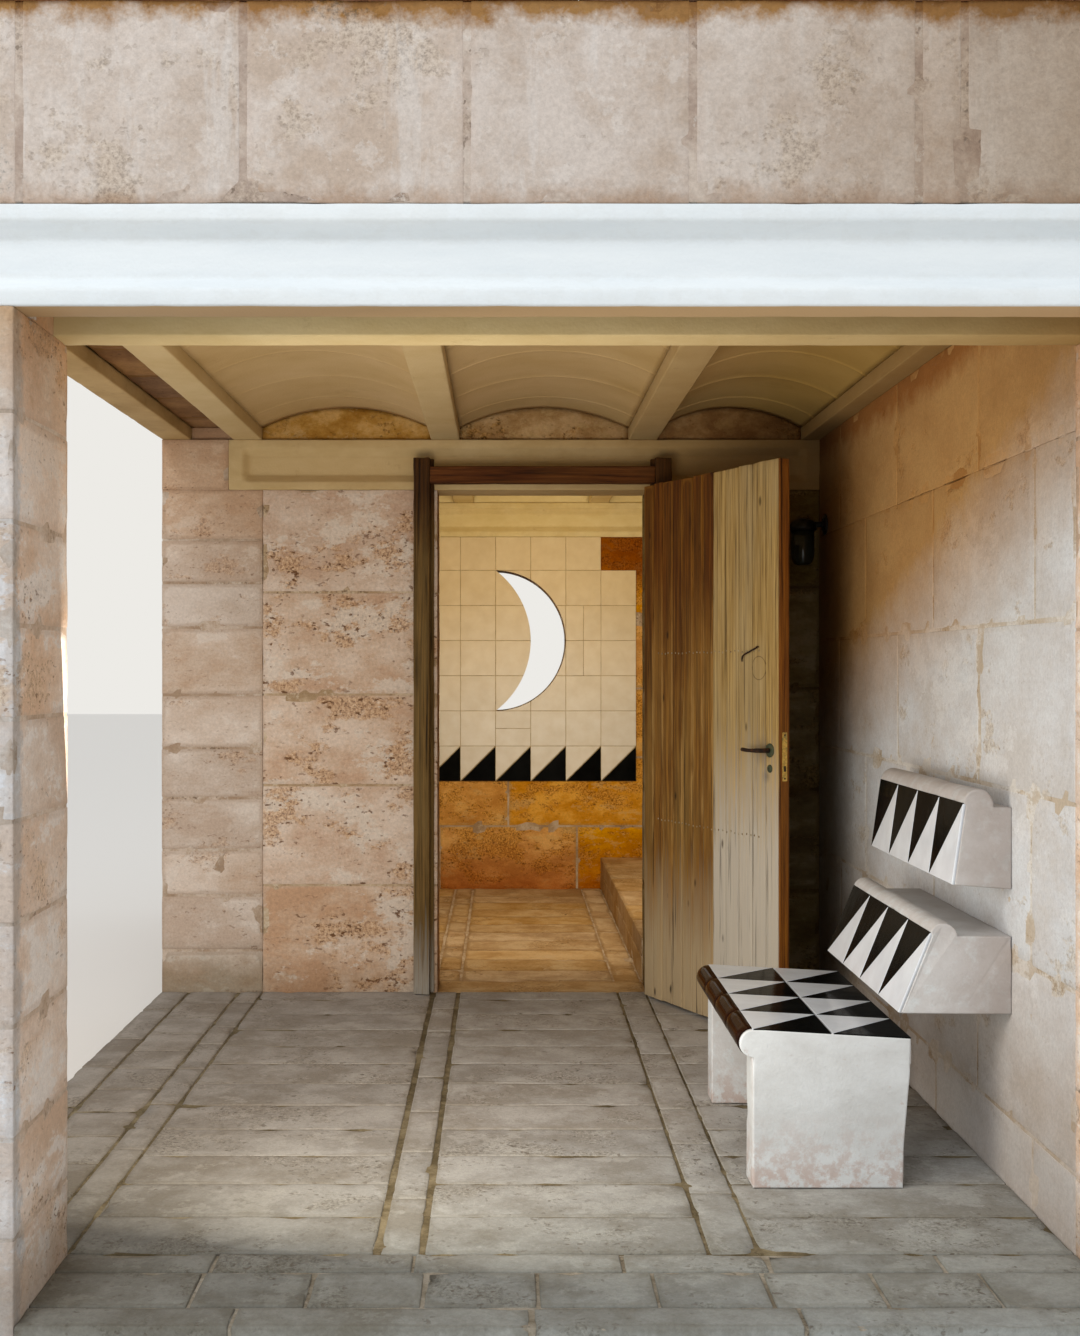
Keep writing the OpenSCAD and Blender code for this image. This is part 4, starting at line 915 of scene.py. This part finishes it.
makePiece("lintel_front", [lintel(leftX, rightX, 0, lintelZ)], [whitePaint],
          "front_lintel")
makePiece("lintel_inner", [lintel(leftX, rightX, 262, lintelZ, 64)], [limewash],
          "inner_lintel")
makePiece("lintels_door", [lintel(-135, roomX, y, lintelZ) for y in (doorY, 3082)], [limewash],
          "door_lintels")
outdoorLintel = lintel(-135, roomX, 5822, innerLintelZ, slot=1)
makePiece("lintels_moon", [lintel(-135, roomX, moonY, innerLintelZ), outdoorLintel], [innerWash, whitePaint],
          "moon_lintels")
makePiece("joist_left_edge", [joist(-343, 262, 3078, joistZ)], [edgeWash],
          "left_edge_joist")
makePiece("joists_porch", [joist(x, 262, 3078, joistZ) for x in joistXs], [limewash],
          "porch_joists")
piece = makePiece("joists_vestibule", [joist(x, 3082, rearY, innerJoistZ, innerBeamLook) for x in joistXs],
                  [innerWash, whitePaint], "vestibule_joists")
faceOutdoors(piece, 1, outdoorY)

arches = {"spring": 50.0, "rise": 80.0, "boards": 400.0, "ridge": 2.0}


def archLine(bay, foot, drop=0.0):
    # points of the arch between two joists, from left to right: a circle's arc of the given rise, over the level
    # of the joists' underside
    left = joistXs[bay] + beam["joistWide"] / 2
    right = joistXs[bay + 1] - beam["joistWide"] / 2
    rise = arches["rise"]
    radius = ((right - left) ** 2 / 4 + rise ** 2) / (2 * rise)
    x = np.linspace(left, right, 33)
    z = foot + arches["spring"] + rise - radius + np.sqrt(radius ** 2 - (x - (left + right) / 2) ** 2)
    return np.stack([x, z - drop], axis=1)


def vault(bay, y0, y1, foot):
    # grid over the arch's x and the length's y, with the arch's height below and a level top. Each joint between
    # the boards of the old centring is a ridge, a bell curve of y, and noise moves the soffit a little.
    arch = archLine(bay, foot)
    joints = np.arange(y0 + 380, y1 - 60, arches["boards"])
    joints = joints + rng.uniform(-12, 12, len(joints))
    beside = (joints[:, None] + np.array([-9.0, -4.0, 0.0, 4.0, 9.0])).ravel()
    ys = np.unique(np.concatenate([np.linspace(y0, y1, 50), beside]))
    soffit = np.empty((len(arch), len(ys), 3))
    soffit[..., 0] = arch[:, :1]
    soffit[..., 1] = ys
    ridge = np.exp(-((ys[:, None] - joints) / 4.5) ** 2).sum(axis=1)
    soffit[..., 2] = arch[:, 1:] - (1 + 0.6 * bay) * arches["ridge"] * ridge
    soffit[..., 2] -= 2.0 + 2.0 * valueNoise(soffit.reshape(-1, 3), 190, 6).reshape(soffit.shape[:2])
    top = soffit.copy()
    top[..., 2] = foot + beam["tall"] - 1
    return between(soffit, top, rng.random())


for bay in range(3):
    makePiece(f"vault_porch_{bay + 1}", [vault(bay, pillarY, 3000, joistZ)], [vaultWashShaded],
              f"porch_vault_{bay + 1}")
makePiece("vaults_vestibule", [vault(bay, innerY, 5740, innerJoistZ) for bay in range(3)], [innerWash],
          "vestibule_vaults")

infillLook = {"round": 6, "step": 24, "along": 40, "rough": 2.2, "broad": 90, "fine": 30}


def tympanum(bay, y0, y1, foot):
    # infill between two joists: rows of points between a level foot and the arch, rough in front and behind
    arch = archLine(bay, foot, 1.0)
    heights = foot + 1 + (arch[:, 1:] - foot - 1) * np.linspace(0, 1, 8)
    shape = heights.shape
    front = np.stack([np.broadcast_to(arch[:, :1], shape), np.full(shape, y0 + 2.0), heights], axis=2)
    back = front.copy()
    front[..., 1] += 2.5 * valueNoise(front.reshape(-1, 3), 60, 5).reshape(shape)
    back[..., 1] = y1 - 2 + 2.0 * valueNoise(front.reshape(-1, 3), 70, 4).reshape(shape)
    return between(front, back, rng.random())


parts = []
for y0, y1, foot, slot in ((3000, meetY, joistZ, 0), (meetY, 3181, innerJoistZ, 0),
                           (5740, rearY, innerJoistZ, 1)):
    parts += [dict(tympanum(bay, y0, y1, foot), slot=slot) for bay in range(3)]
for x0, x1 in pairwise([0, 560, 1120, 1680, roomX]):
    parts.append(block([x0 + 2, 3081, joistZ + 1], [x1 - 2, 3179, innerJoistZ - 1], 0, infillLook))
piece = makePiece("tympanum_infill", parts, [infillStone, innerWash, pillarStone], "tympana")
faceOutdoors(piece, 1, 5912)

parts = [block([-286, y0 + 2, joistZ + 50], [-119, y1 - 2, roofZ - 1], 1, infillLook)
         for y0, y1 in pairwise([pillarY, 760, 1160, 1560, 1960, 2360, 2760, meetY])]
makePiece("edge_infill_blocks", parts, [edgeStone], "edge_infill")

roofLook = {"round": 8, "step": 90, "rough": 3.0, "broad": 420, "fine": 140}
kerbLook = dict(backLook, step=40)
copingLook = {"round": 6, "step": 36, "rough": 1.2, "broad": 90, "fine": 30, "chip": 6, "chipCell": 40,
              "chipReach": 20}
kerbX, rearKerbY, copingZ = (-300, 2305), 5820, 33  # the kerb's inner lines, and the coping tiles' thickness
parts = [block([kerbX[0], y0, z], [kerbX[1], y1, z + 60], 0, roofLook, 0.5)
         for y0, y1, z in ((pillarY, meetY, roofZ), (meetY, rearKerbY, innerRoofZ))]
makePiece("roof_screed_bed", parts, [screed], "roof_slab")
parts = []
for x0, x1 in ((leftX, kerbX[0]), (kerbX[1], wallX)):
    for y0, y1 in pairwise([pillarY, 1130, 1930, meetY, 3780, 4490, 5200, rearY]):
        foot = (roofZ if y1 <= meetY else innerRoofZ) + 1
        parts.append(block([x0, y0 + 3, foot], [x1, y1 - (3 if y1 < rearY else 0), parapetZ], 1, kerbLook))
for x0, x1 in pairwise([kerbX[0], 350, 1000, 1650, kerbX[1]]):
    parts.append(block([x0 + 3, rearKerbY, innerRoofZ + 1], [x1 - 3, rearY, parapetZ], 0, kerbLook))
makePiece("kerb_blocks", parts, [pillarStone], "roof_kerb")
parts = []
for x0, x1 in pairwise(np.linspace(leftX - 10, rightX + 10, 11)):
    top = parapetZ + copingZ + rng.uniform(-3, 2)
    parts.append(block([x0 + 1.5, -10, parapetZ], [x1 - 1.5, 370, top], 0, copingLook))
makePiece("coping_tiles", parts, [terracotta], "front_coping")
print("beams, vaults and roof placed")

timberLook = {"round": 5, "step": 11, "along": 34, "rough": 1.0, "broad": (26, 26, 420), "fine": (9, 9, 120),
              "chip": 7, "chipCell": (30, 30, 90), "chipReach": 14}
headLook = dict(timberLook, broad=(420, 26, 26), fine=(120, 9, 9), chipCell=(90, 30, 30))
doorFrame = {"left": 664, "right": 1548, "front": 2915, "rebateY": 2962, "rebate": 15, "wide": 64, "top": 2105}


def post(face, side, tone):
    # rebated post: side is the way to the opening
    front, step = doorFrame["front"], doorFrame["rebateY"]
    rebate = face + side * doorFrame["rebate"]
    outer = face - side * doorFrame["wide"]
    outline = [[face, front], [face, step], [rebate, step], [rebate, doorY], [outer, doorY], [outer, front]]
    return sweep(outline, 2, 0, doorFrame["top"], timberLook, tone)


makePiece("post_left_timber", [post(doorFrame["left"], 1, 0.35)], [frameTimber], "door_post_left")
makePiece("post_right_timber", [post(doorFrame["right"], -1, 0.6)], [frameTimber],
          "door_post_right")
parts = [block([doorFrame["left"], 2915, 2005], [doorFrame["right"], 2964, 2071], 0, headLook, 0.5),
         block([679, 2961, 2006], [1533, doorY, 2070], 0, headLook, 0.4)]
makePiece("head_timber", parts, [headTimber], "door_head")

# door leaf: made closed, then turned about its hinge line
leaf = {"left": 671, "right": 1543, "front": 2915, "back": 2957, "foot": 10, "top": 1989,
        "hinge": (1545.5, 2905), "open": 116, "brown": 7, "joint": 1.5, "strip": 9, "ledges": (700, 1338),
        "widths": [68, 66, 70, 67, 69, 66, 68, 80, 79, 81, 78, 80]}  # joint is half of one between two boards


def swungOpen(points):
    # turns the closed leaf's points about the hinge line by the angle at which it stands
    angle = math.radians(leaf["open"])
    rel = points[:, :2] - leaf["hinge"]
    out = points.copy()
    out[:, 0] = leaf["hinge"][0] + rel[:, 0] * math.cos(angle) - rel[:, 1] * math.sin(angle)
    out[:, 1] = leaf["hinge"][1] + rel[:, 0] * math.sin(angle) + rel[:, 1] * math.cos(angle)
    return out


boardLook = {"round": 3.5, "step": 9, "along": 30, "rough": 0.55, "broad": (24, 24, 500), "fine": (8, 8, 160),
             "chip": 4, "chipCell": (25, 25, 70), "chipReach": 9}
coreLook = {"round": 2, "step": 60, "rough": 0.1, "broad": 60, "fine": 25}
parts = []
stripX = leaf["left"] + leaf["strip"]
x = leaf["right"]
for i, width in enumerate(leaf["widths"]):
    x0 = max(x - width, stripX)
    foot = leaf["foot"] + rng.uniform(0, 4)
    top = leaf["top"] - rng.uniform(0, 5)
    low = [x0 + leaf["joint"], leaf["front"], foot]
    high = [x - leaf["joint"], leaf["back"], top]
    parts.append(block(low, high, 2, boardLook, None, 0 if i < leaf["brown"] else 1))
    x = x0
low = [leaf["left"], leaf["front"] + 1, leaf["foot"]]
parts.append(block(low, [stripX, leaf["back"] - 1, leaf["top"] - 2], 2, boardLook, 0.5, 2))
parts.append(block([690, 2922, 16], [1540, 2950, 1978], 2, coreLook, 0.1))
makePiece("leaf_boards", parts, [brownBoard, greyBoard, edgeBoard], "door_leaf", "leaf",
          swungOpen)
ledgeLook = dict(headLook, step=12, rough=0.7)
parts = [block([761, 2890, z - 50], [1453, 2915.5, z + 50], 0, ledgeLook) for z in leaf["ledges"]]
makePiece("leaf_ledges", parts, [headTimber], "door_ledges", "leaf", swungOpen)

# nails through the boards into the ledges: one row of small domed heads for each ledge, on the inner face
nailShape = [(3.8, 0), (3.6, 1.1), (2.1, 2.1), (0.5, 2.5)]
parts = []
for z in leaf["ledges"]:
    for x in np.arange(790, 1440, 24):
        place = [x + rng.uniform(-3, 3), leaf["back"] - 0.8, z + rng.uniform(-4, 4)]
        parts.append(turned(nailShape, place, 1, 10))
makePiece("leaf_nails", parts, [brightNail], None, "leaf", swungOpen)

# lock furniture: face plate with screws and bolt slots, turned roses and keyhole covers on both faces
lock = {"x": 726, "z": 1000, "keyZ": 938, "plateLow": 898, "plateHigh": 1063}
plateLook = {"round": 3, "step": 20, "rough": 0.05, "broad": 60, "fine": 20}
screwShape = [(3.6, 1.6), (3.4, -0.4), (1.0, -1.0)]
roseShape = np.array([(24, 0), (24, 1.6), (22.5, 3), (18, 4.2), (14, 5), (12, 5), (10, 5.4)])
coverShape = np.array([(14, 0), (14, 1.5), (12.5, 3), (9, 4), (6.5, 4.6)])
parts = [block([670.4, 2926, lock["plateLow"]], [673.2, 2946, lock["plateHigh"]], 0, plateLook, 0.4)]
for z in (lock["plateLow"] + 9, lock["plateHigh"] - 9):
    parts.append(turned(screwShape, [670.6, 2936, z], 0, 14, 0.4, 1))
parts.append(block([668.6, 2931, 996], [673, 2941, 1010], 0, plateLook, 0.4))
parts.append(block([669.6, 2932, 930], [673, 2940, 950], 0, plateLook, 0.4, 1))
for face, way in ((leaf["back"], 1), (leaf["front"], -1)):
    parts.append(turned(roseShape * [1, way], [lock["x"], face, lock["z"]], 1, 32, 0.5, 2))
    parts.append(turned(coverShape * [1, way], [lock["x"], face, lock["keyZ"]], 1, 28, 0.5, 2))
    low = [lock["x"] - 1.4, face + min(0, 5 * way), lock["keyZ"] - 8]
    high = [lock["x"] + 1.4, face + max(0, 5 * way), lock["keyZ"] + 1]
    parts.append(block(low, high, 1, plateLook, 0.2, 1))
    parts.append(turned([(2.6, 0), (2.6, 5 * way)], [lock["x"], face, lock["keyZ"] + 2], 1, 14, 0.2, 1))
makePiece("lock_furniture", parts, [brass, forgedIron, greenBrass], "door_lock", "leaf",
          swungOpen)


def leverBar(way, face):
    # a lever: out from the rose, round a bend and along the leaf, thicker at the bend and at the tip
    path = np.array([[0, 5.3, 0], [0, 20, 0], [1, 34, 0], [8, 45, 0], [30, 46, -1], [62, 45, -2], [92, 43, -1],
                     [110, 39, 0]]) * [1, way, 1] + [lock["x"], face, lock["z"]]
    t = np.linspace(0, 1, 26)
    spot = np.linspace(0, 1, len(path))
    smooth = np.stack([np.interp(t, spot, path[:, k]) for k in range(3)], axis=1)
    for _ in range(3):
        smooth[1:-1] = (smooth[:-2] + 2 * smooth[1:-1] + smooth[2:]) / 4
    radius = np.interp(t, [0, 0.1, 0.3, 0.45, 0.7, 0.9, 0.97, 1], [9, 8, 7.5, 7.8, 6, 7, 6.4, 3.5])
    return rod(smooth, radius, 16)


spindle = np.linspace([lock["x"], 2909, lock["z"]], [lock["x"], 2963, lock["z"]], 4)
makePiece("lever_handles", [leverBar(1, leaf["back"]), leverBar(-1, leaf["front"]), rod(spindle, 4.3)],
          [forgedIron], "door_handles", "handle", swungOpen)

# small forged hook hanging on its staple: both paths start from the staple's foot on the leaf
hookFoot = [790.0, 2957, 1352]
staple = np.array([[0, 0, 0], [0, 5, 2], [4, 8, 1], [8, 5, 0], [8, 0, 0]]) + hookFoot
hook = np.array([[3, 6.5, -2], [14, 8.5, -6], [45, 7.5, -16], [74, 6.5, -24], [86, 6, -30], [91, 6, -41],
                 [89, 6.5, -50]]) + hookFoot
parts = [rod(staple, 2.2, 8), rod(hook, [3.2, 3.2, 3.1, 3.0, 3.0, 2.6, 1.4], 10)]
makePiece("leaf_hook", parts, [forgedIron], None, "leaf", swungOpen)
for name in ("hinge_pins", "hinge_knuckles"):
    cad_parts[name].data.materials.clear()
    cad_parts[name].data.materials.append(forgedIron)
print("door hung")

bench = {"start": 760.0, "end": 1560.0, "tile": 200.0, "joint": 2.4, "thick": 7.0, "cheek": 13.0, "front": 1566,
         "set": 6.5}  # set is how far the backrests' plaster stands back for their tiles
plasterLook = {"round": 9, "step": 18, "along": 24, "rough": 0.8, "broad": 170, "fine": 60, "chip": 5,
               "chipCell": 40, "chipReach": 16}


def benchTiles(foot, head, dark, pale):
    # four tiles along a face given by its foot and head in X and Z, each split along its diagonal. The corners
    # of the two halves are given as 0 or 1 along the bench and up the face.
    foot = np.array([foot[0], 0, foot[1]], float)
    head = np.array([head[0], 0, head[1]], float)
    wide = np.linalg.norm(head - foot)
    up = (head - foot) / wide
    along = np.array([0, 1, 0], float)
    normal = np.cross(up, along)
    normal = normal if normal[0] < 0 or normal[2] > 0.5 else -normal
    place = (foot - normal * bench["thick"], along, up, normal)
    size = np.array([bench["tile"], wide])
    parts = []
    for k in range(4):
        start = np.array([bench["start"] + k * bench["tile"], 0.0])
        for slot, half in enumerate((dark, pale)):
            corners = start + np.array(half) * size
            middle = corners.mean(axis=0)
            # half a joint goes from every side, which is about 60 mm from the middle
            drawn = middle + (corners - middle) * (1 - bench["joint"] / 120)
            parts.append(tile(drawn, place, bench["thick"], 1.4, slot))
    return parts


def cheek(outer, inner):
    # coat of plaster over one end of the bench, from the seat with its nose down to the floor: rows of points
    # from the front edge, which bulges as a half circle at the nose, to the rear edge, which steps out under the
    # seat. The top falls to the rear. A rounded rim is a quarter circle of the distance from the nearest edge,
    # and noise moves the trowelled face.
    size = 390  # both the height and the depth of the bench's end
    rim = np.array([0.0, 0.5, 1.5, 3.0, 5.0, 9.0])
    z = [rim, np.linspace(20, 322, 18), np.linspace(322, size, 15), size - rim]
    z = np.unique(np.concatenate(z))[:, None]
    rim = rim / 380
    wide = np.unique(np.concatenate([rim, np.linspace(0.05, 0.95, 22), 1 - rim]))[None, :]
    wander = 2.5 * valueNoise(np.hstack([z, 0 * z, 0 * z]), 75, 9)[:, None]
    left = 1569 - np.sqrt(np.clip(34.0 ** 2 - (z - 356) ** 2, 0, None)) + wander
    right = np.interp(z, [0, 110, 300, size], [1938, 1941, 1956, 1956]) + wander
    x = left + (right - left) * wide
    near = np.minimum(np.minimum(x - left, right - x), np.minimum(z, size - z) + 0 * x)
    height = z * (1 - 0.058 * np.clip(x - 1590, 0, None) / size)
    flat = np.stack([x, np.full(x.shape, outer), height], axis=2)
    drawn = 4 - np.sqrt(np.clip(16 - np.clip(4 - near, 0, None) ** 2, 0, None))
    drawn += np.clip(near / 12, 0, 1) * (0.4 + 0.4 * valueNoise(flat.reshape(-1, 3), 70, 8).reshape(x.shape))
    back = flat.copy()
    back[..., 1] = inner
    flat[..., 1] += np.sign(inner - outer) * drawn
    return between(flat, back, 0.4)


seatOutline = [[bench["front"], 322], [1959, 301], [1959, 364.5], [bench["front"], 385.5]]
parts = [sweep(seatOutline, 1, 761, 1559, plasterLook, 0.4),
         cheek(bench["start"], bench["start"] + bench["cheek"]),
         cheek(bench["end"], bench["end"] - bench["cheek"])]
makePiece("seat_body", parts, [plaster], "bench_seat")
seatHalves = ([[1, 1], [0, 1], [0, 0]], [[0, 0], [1, 0], [1, 1]])
backHalves = ([[1, 0], [1, 1], [0, 1]], [[0, 0], [1, 0], [0, 1]])
parts = benchTiles([bench["front"], 392], [1762, 381.5], *seatHalves)
parts += benchTiles([1763, 381.5], [1958, 371], *seatHalves)
makePiece("seat_tiles", parts, [blackGlaze, whiteGlaze])

noseLook = {"round": 1.5, "step": 6, "along": 40, "rough": 0.25, "broad": 60, "fine": 20}
nose = {"z": 357, "radius": 35, "gap": 0.6}
angle = np.linspace(math.pi / 2, 3 * math.pi / 2, 20)
bow = np.stack([bench["front"] + nose["radius"] * np.cos(angle),
                nose["z"] + nose["radius"] * np.sin(angle)], axis=1)
bow = np.vstack([bow, [[1567, 322], [1567, 392]]])
parts = [sweep(bow, 1, y0 + nose["gap"], y1 - nose["gap"], noseLook, rng.random()) for y0, y1 in
         pairwise([bench["start"] + bench["cheek"], 960, 1160, 1360, bench["end"] - bench["cheek"]])]
makePiece("nose_tiles", parts, [brownGlaze], "bench_nose")

supportOutline = [[bench["front"], 0], [1940, 0], [1940, 302], [bench["front"], 323]]
parts = [sweep(supportOutline, 1, y0, y1, dict(plasterLook, round=5), rng.random())
         for y0, y1 in ((764, 850), (1470, 1556))]
makePiece("support_blocks", parts, [plaster], "bench_supports")


def backrest(out, z, face, lean, capR, shelfZ, rootZ):
    # leaning face, round cap and a shelf back to the wall; the face is set back for its tiles
    lean = math.radians(lean)
    foot = np.array([roomX - out, z], float)
    way = np.array([math.sin(lean), math.cos(lean)])
    inward = np.array([math.cos(lean), -math.sin(lean)])
    head = foot + face * way
    cap = head + capR * inward
    start = math.atan2(-inward[1], -inward[0])
    turn = math.radians(170) if start > 0 else 3
    angles = np.linspace(start, start - turn, 14)
    bow = cap + capR * np.stack([np.cos(angles), np.sin(angles)], axis=1)
    bow = bow[bow[:, 1] >= shelfZ - 0.01]
    last = cap[0] + math.sqrt(max(capR ** 2 - (shelfZ - cap[1]) ** 2, 0))
    front = [foot + bench["set"] * inward, head + bench["set"] * inward - 8 * way]
    return np.vstack([front, bow, [[last, shelfZ], [roomX, shelfZ], [roomX, rootZ]]]), foot, head


for name, size in (("lower", (281, 432, 215, 22, 35, 620, 427)), ("upper", (149, 746, 205, 8, 38, 937, 735))):
    outline, foot, head = backrest(*size)
    parts = [sweep(outline, 1, 760, 1560, dict(plasterLook, round=6), 0.5)]
    makePiece(f"back_{name}_plaster", parts, [plaster], f"bench_back_{name}")
    makePiece(f"back_{name}_tiles", benchTiles(foot, head, *backHalves), [blackGlaze, whiteGlaze])
print("bench built")

lamp = {"x": 2115, "y": 2870, "top": 1860.5, "armZ": 1837.5, "foot": 1679.5, "screws": 28}
capShape = [(2, 0), (14, -0.6), (27, -3.5), (38, -9), (46, -16), (51, -24), (53.5, -33), (53.5, -46.5),
            (48, -46.5), (47, -40), (2, -39)]
armEnds = [[x, lamp["y"], lamp["armZ"]] for x in (2120, 2200)]
parts = [turned(capShape, [lamp["x"], lamp["y"], lamp["top"]], 2, 40), rod(np.linspace(*armEnds, 6), 11, 18),
         turned([(40, 0), (40, -4), (36, -8), (15, -9), (14, -14)], [roomX, lamp["y"], lamp["armZ"]], 0, 36)]
for turnBy in (45, 135, 225, 315):
    away = lamp["screws"] * math.cos(math.radians(turnBy))
    above = lamp["screws"] * math.sin(math.radians(turnBy))
    parts.append(turned([(4, 1), (4, -1.5), (1, -3)], [2197, lamp["y"] + away, lamp["armZ"] + above], 0, 12))
makePiece("lamp_fitting", parts, [lampMetal], "lamp_bracket")
# pressed soda glass, thick and smoky: a dark grey-green body, darkened further as painted shade, and a faint
# ripple
jarGlass, add, at = newMaterial("pressed_glass")
ripple = add("TexNoise", {"Vector": at["coords"], "Scale": 1000 / 18, "Detail": 2.0})
body = add("ValToRGB", [ripple], [(0.3, "#3A423D"), (0.7, "#4D5650")])
surface(add, {"Base Color": body, "Roughness": 0.08, "Transmission Weight": 0.6}, ripple, 0.3, 0.001)
jarShape = [(2, 0), (20, 0), (30, 4), (38, 13), (43, 28), (45.5, 48), (45.5, 134), (42, 134), (42, 48),
            (39.5, 30), (35, 16), (28, 8), (19, 5), (2, 5)]
makePiece("lamp_jar", [turned(jarShape, [lamp["x"], lamp["y"], lamp["foot"]], 2, 40)], [jarGlass],
          "lamp_glass")
print("lamp mounted")

view = {"place": (-0.1475, -5.835, 1.43), "lens": 39.88, "sensor": 36, "shiftX": 0.02695}
scene = bpy.context.scene
camera = bpy.data.objects.new("camera", bpy.data.cameras.new("camera"))
camera.location = view["place"]
camera.rotation_euler = (math.pi / 2, 0, 0)
camera.data.lens = view["lens"]
camera.data.sensor_width = view["sensor"]
camera.data.shift_x = view["shiftX"]
scene.collection.objects.link(camera)
scene.camera = camera
scene.view_settings.view_transform = "Standard"


def softLamp(name, place, aim, size, power, colour="#FFFFFF"):
    # square area lamp that faces its aim and isn't seen by the camera
    data = bpy.data.lights.new(name, "AREA")
    data.size = size
    data.energy = power
    data.color = hexLinear(colour)[:3]
    light = bpy.data.objects.new(name, data)
    light.location = place
    way = np.array(aim) - np.array(place)
    light.rotation_euler = (math.atan2(np.hypot(way[0], way[1]), -way[2]), 0, math.atan2(-way[0], way[1]))
    light.visible_camera = False
    light.visible_glossy = size > 2  # small ones would show as spots in the glaze
    scene.collection.objects.link(light)


softLamp("front_soft", (-3.0, -7.6, 7.0), (0.2, -2.0, 1.2), 4.0, 250)
softLamp("porch_fill", (-0.65, -2.7, 0.95), (0.1, 0.0, 1.3), 1.1, 25, "#FFF3E2")
softLamp("vestibule_fill", (0.0, 0.6, 1.7), (0.0, 2.8, 0.8), 1.2, 24, "#FFEED2")

scene.world = bpy.data.worlds.new("studio")
scene.world.use_nodes = True
scene.world.node_tree.nodes.clear()
add = partial(addNode, scene.world.node_tree)
rays = add("LightPath").outputs
seen = add("Math", [rays["Is Camera Ray"], rays["Is Glossy Ray"]], operation="MAXIMUM")
seen = add("Math", [seen, rays["Is Transmission Ray"]], operation="MAXIMUM")
soft = add("Background", ["#FFFFFF", 0.75])
pale = add("Background", ["#EDEBE6", 1.0])
add("OutputWorld", [add("MixShader", [seen, soft, pale])])

floorMesh = bpy.data.meshes.new("studio_floor")
floorMesh.from_pydata([(-40, -40, 0), (40, -40, 0), (40, 40, 0), (-40, 40, 0)], [], [(0, 1, 2, 3)])
floor = bpy.data.objects.new("studio_floor", floorMesh)
scene.collection.objects.link(floor)
floorPaint, add, at = newMaterial("studio_floor_paint")
surface(add, {"Base Color": "#F0EEEA", "Roughness": 0.9, "Specular IOR Level": 0.2})
floorMesh.materials.append(floorPaint)
print("camera and light set")
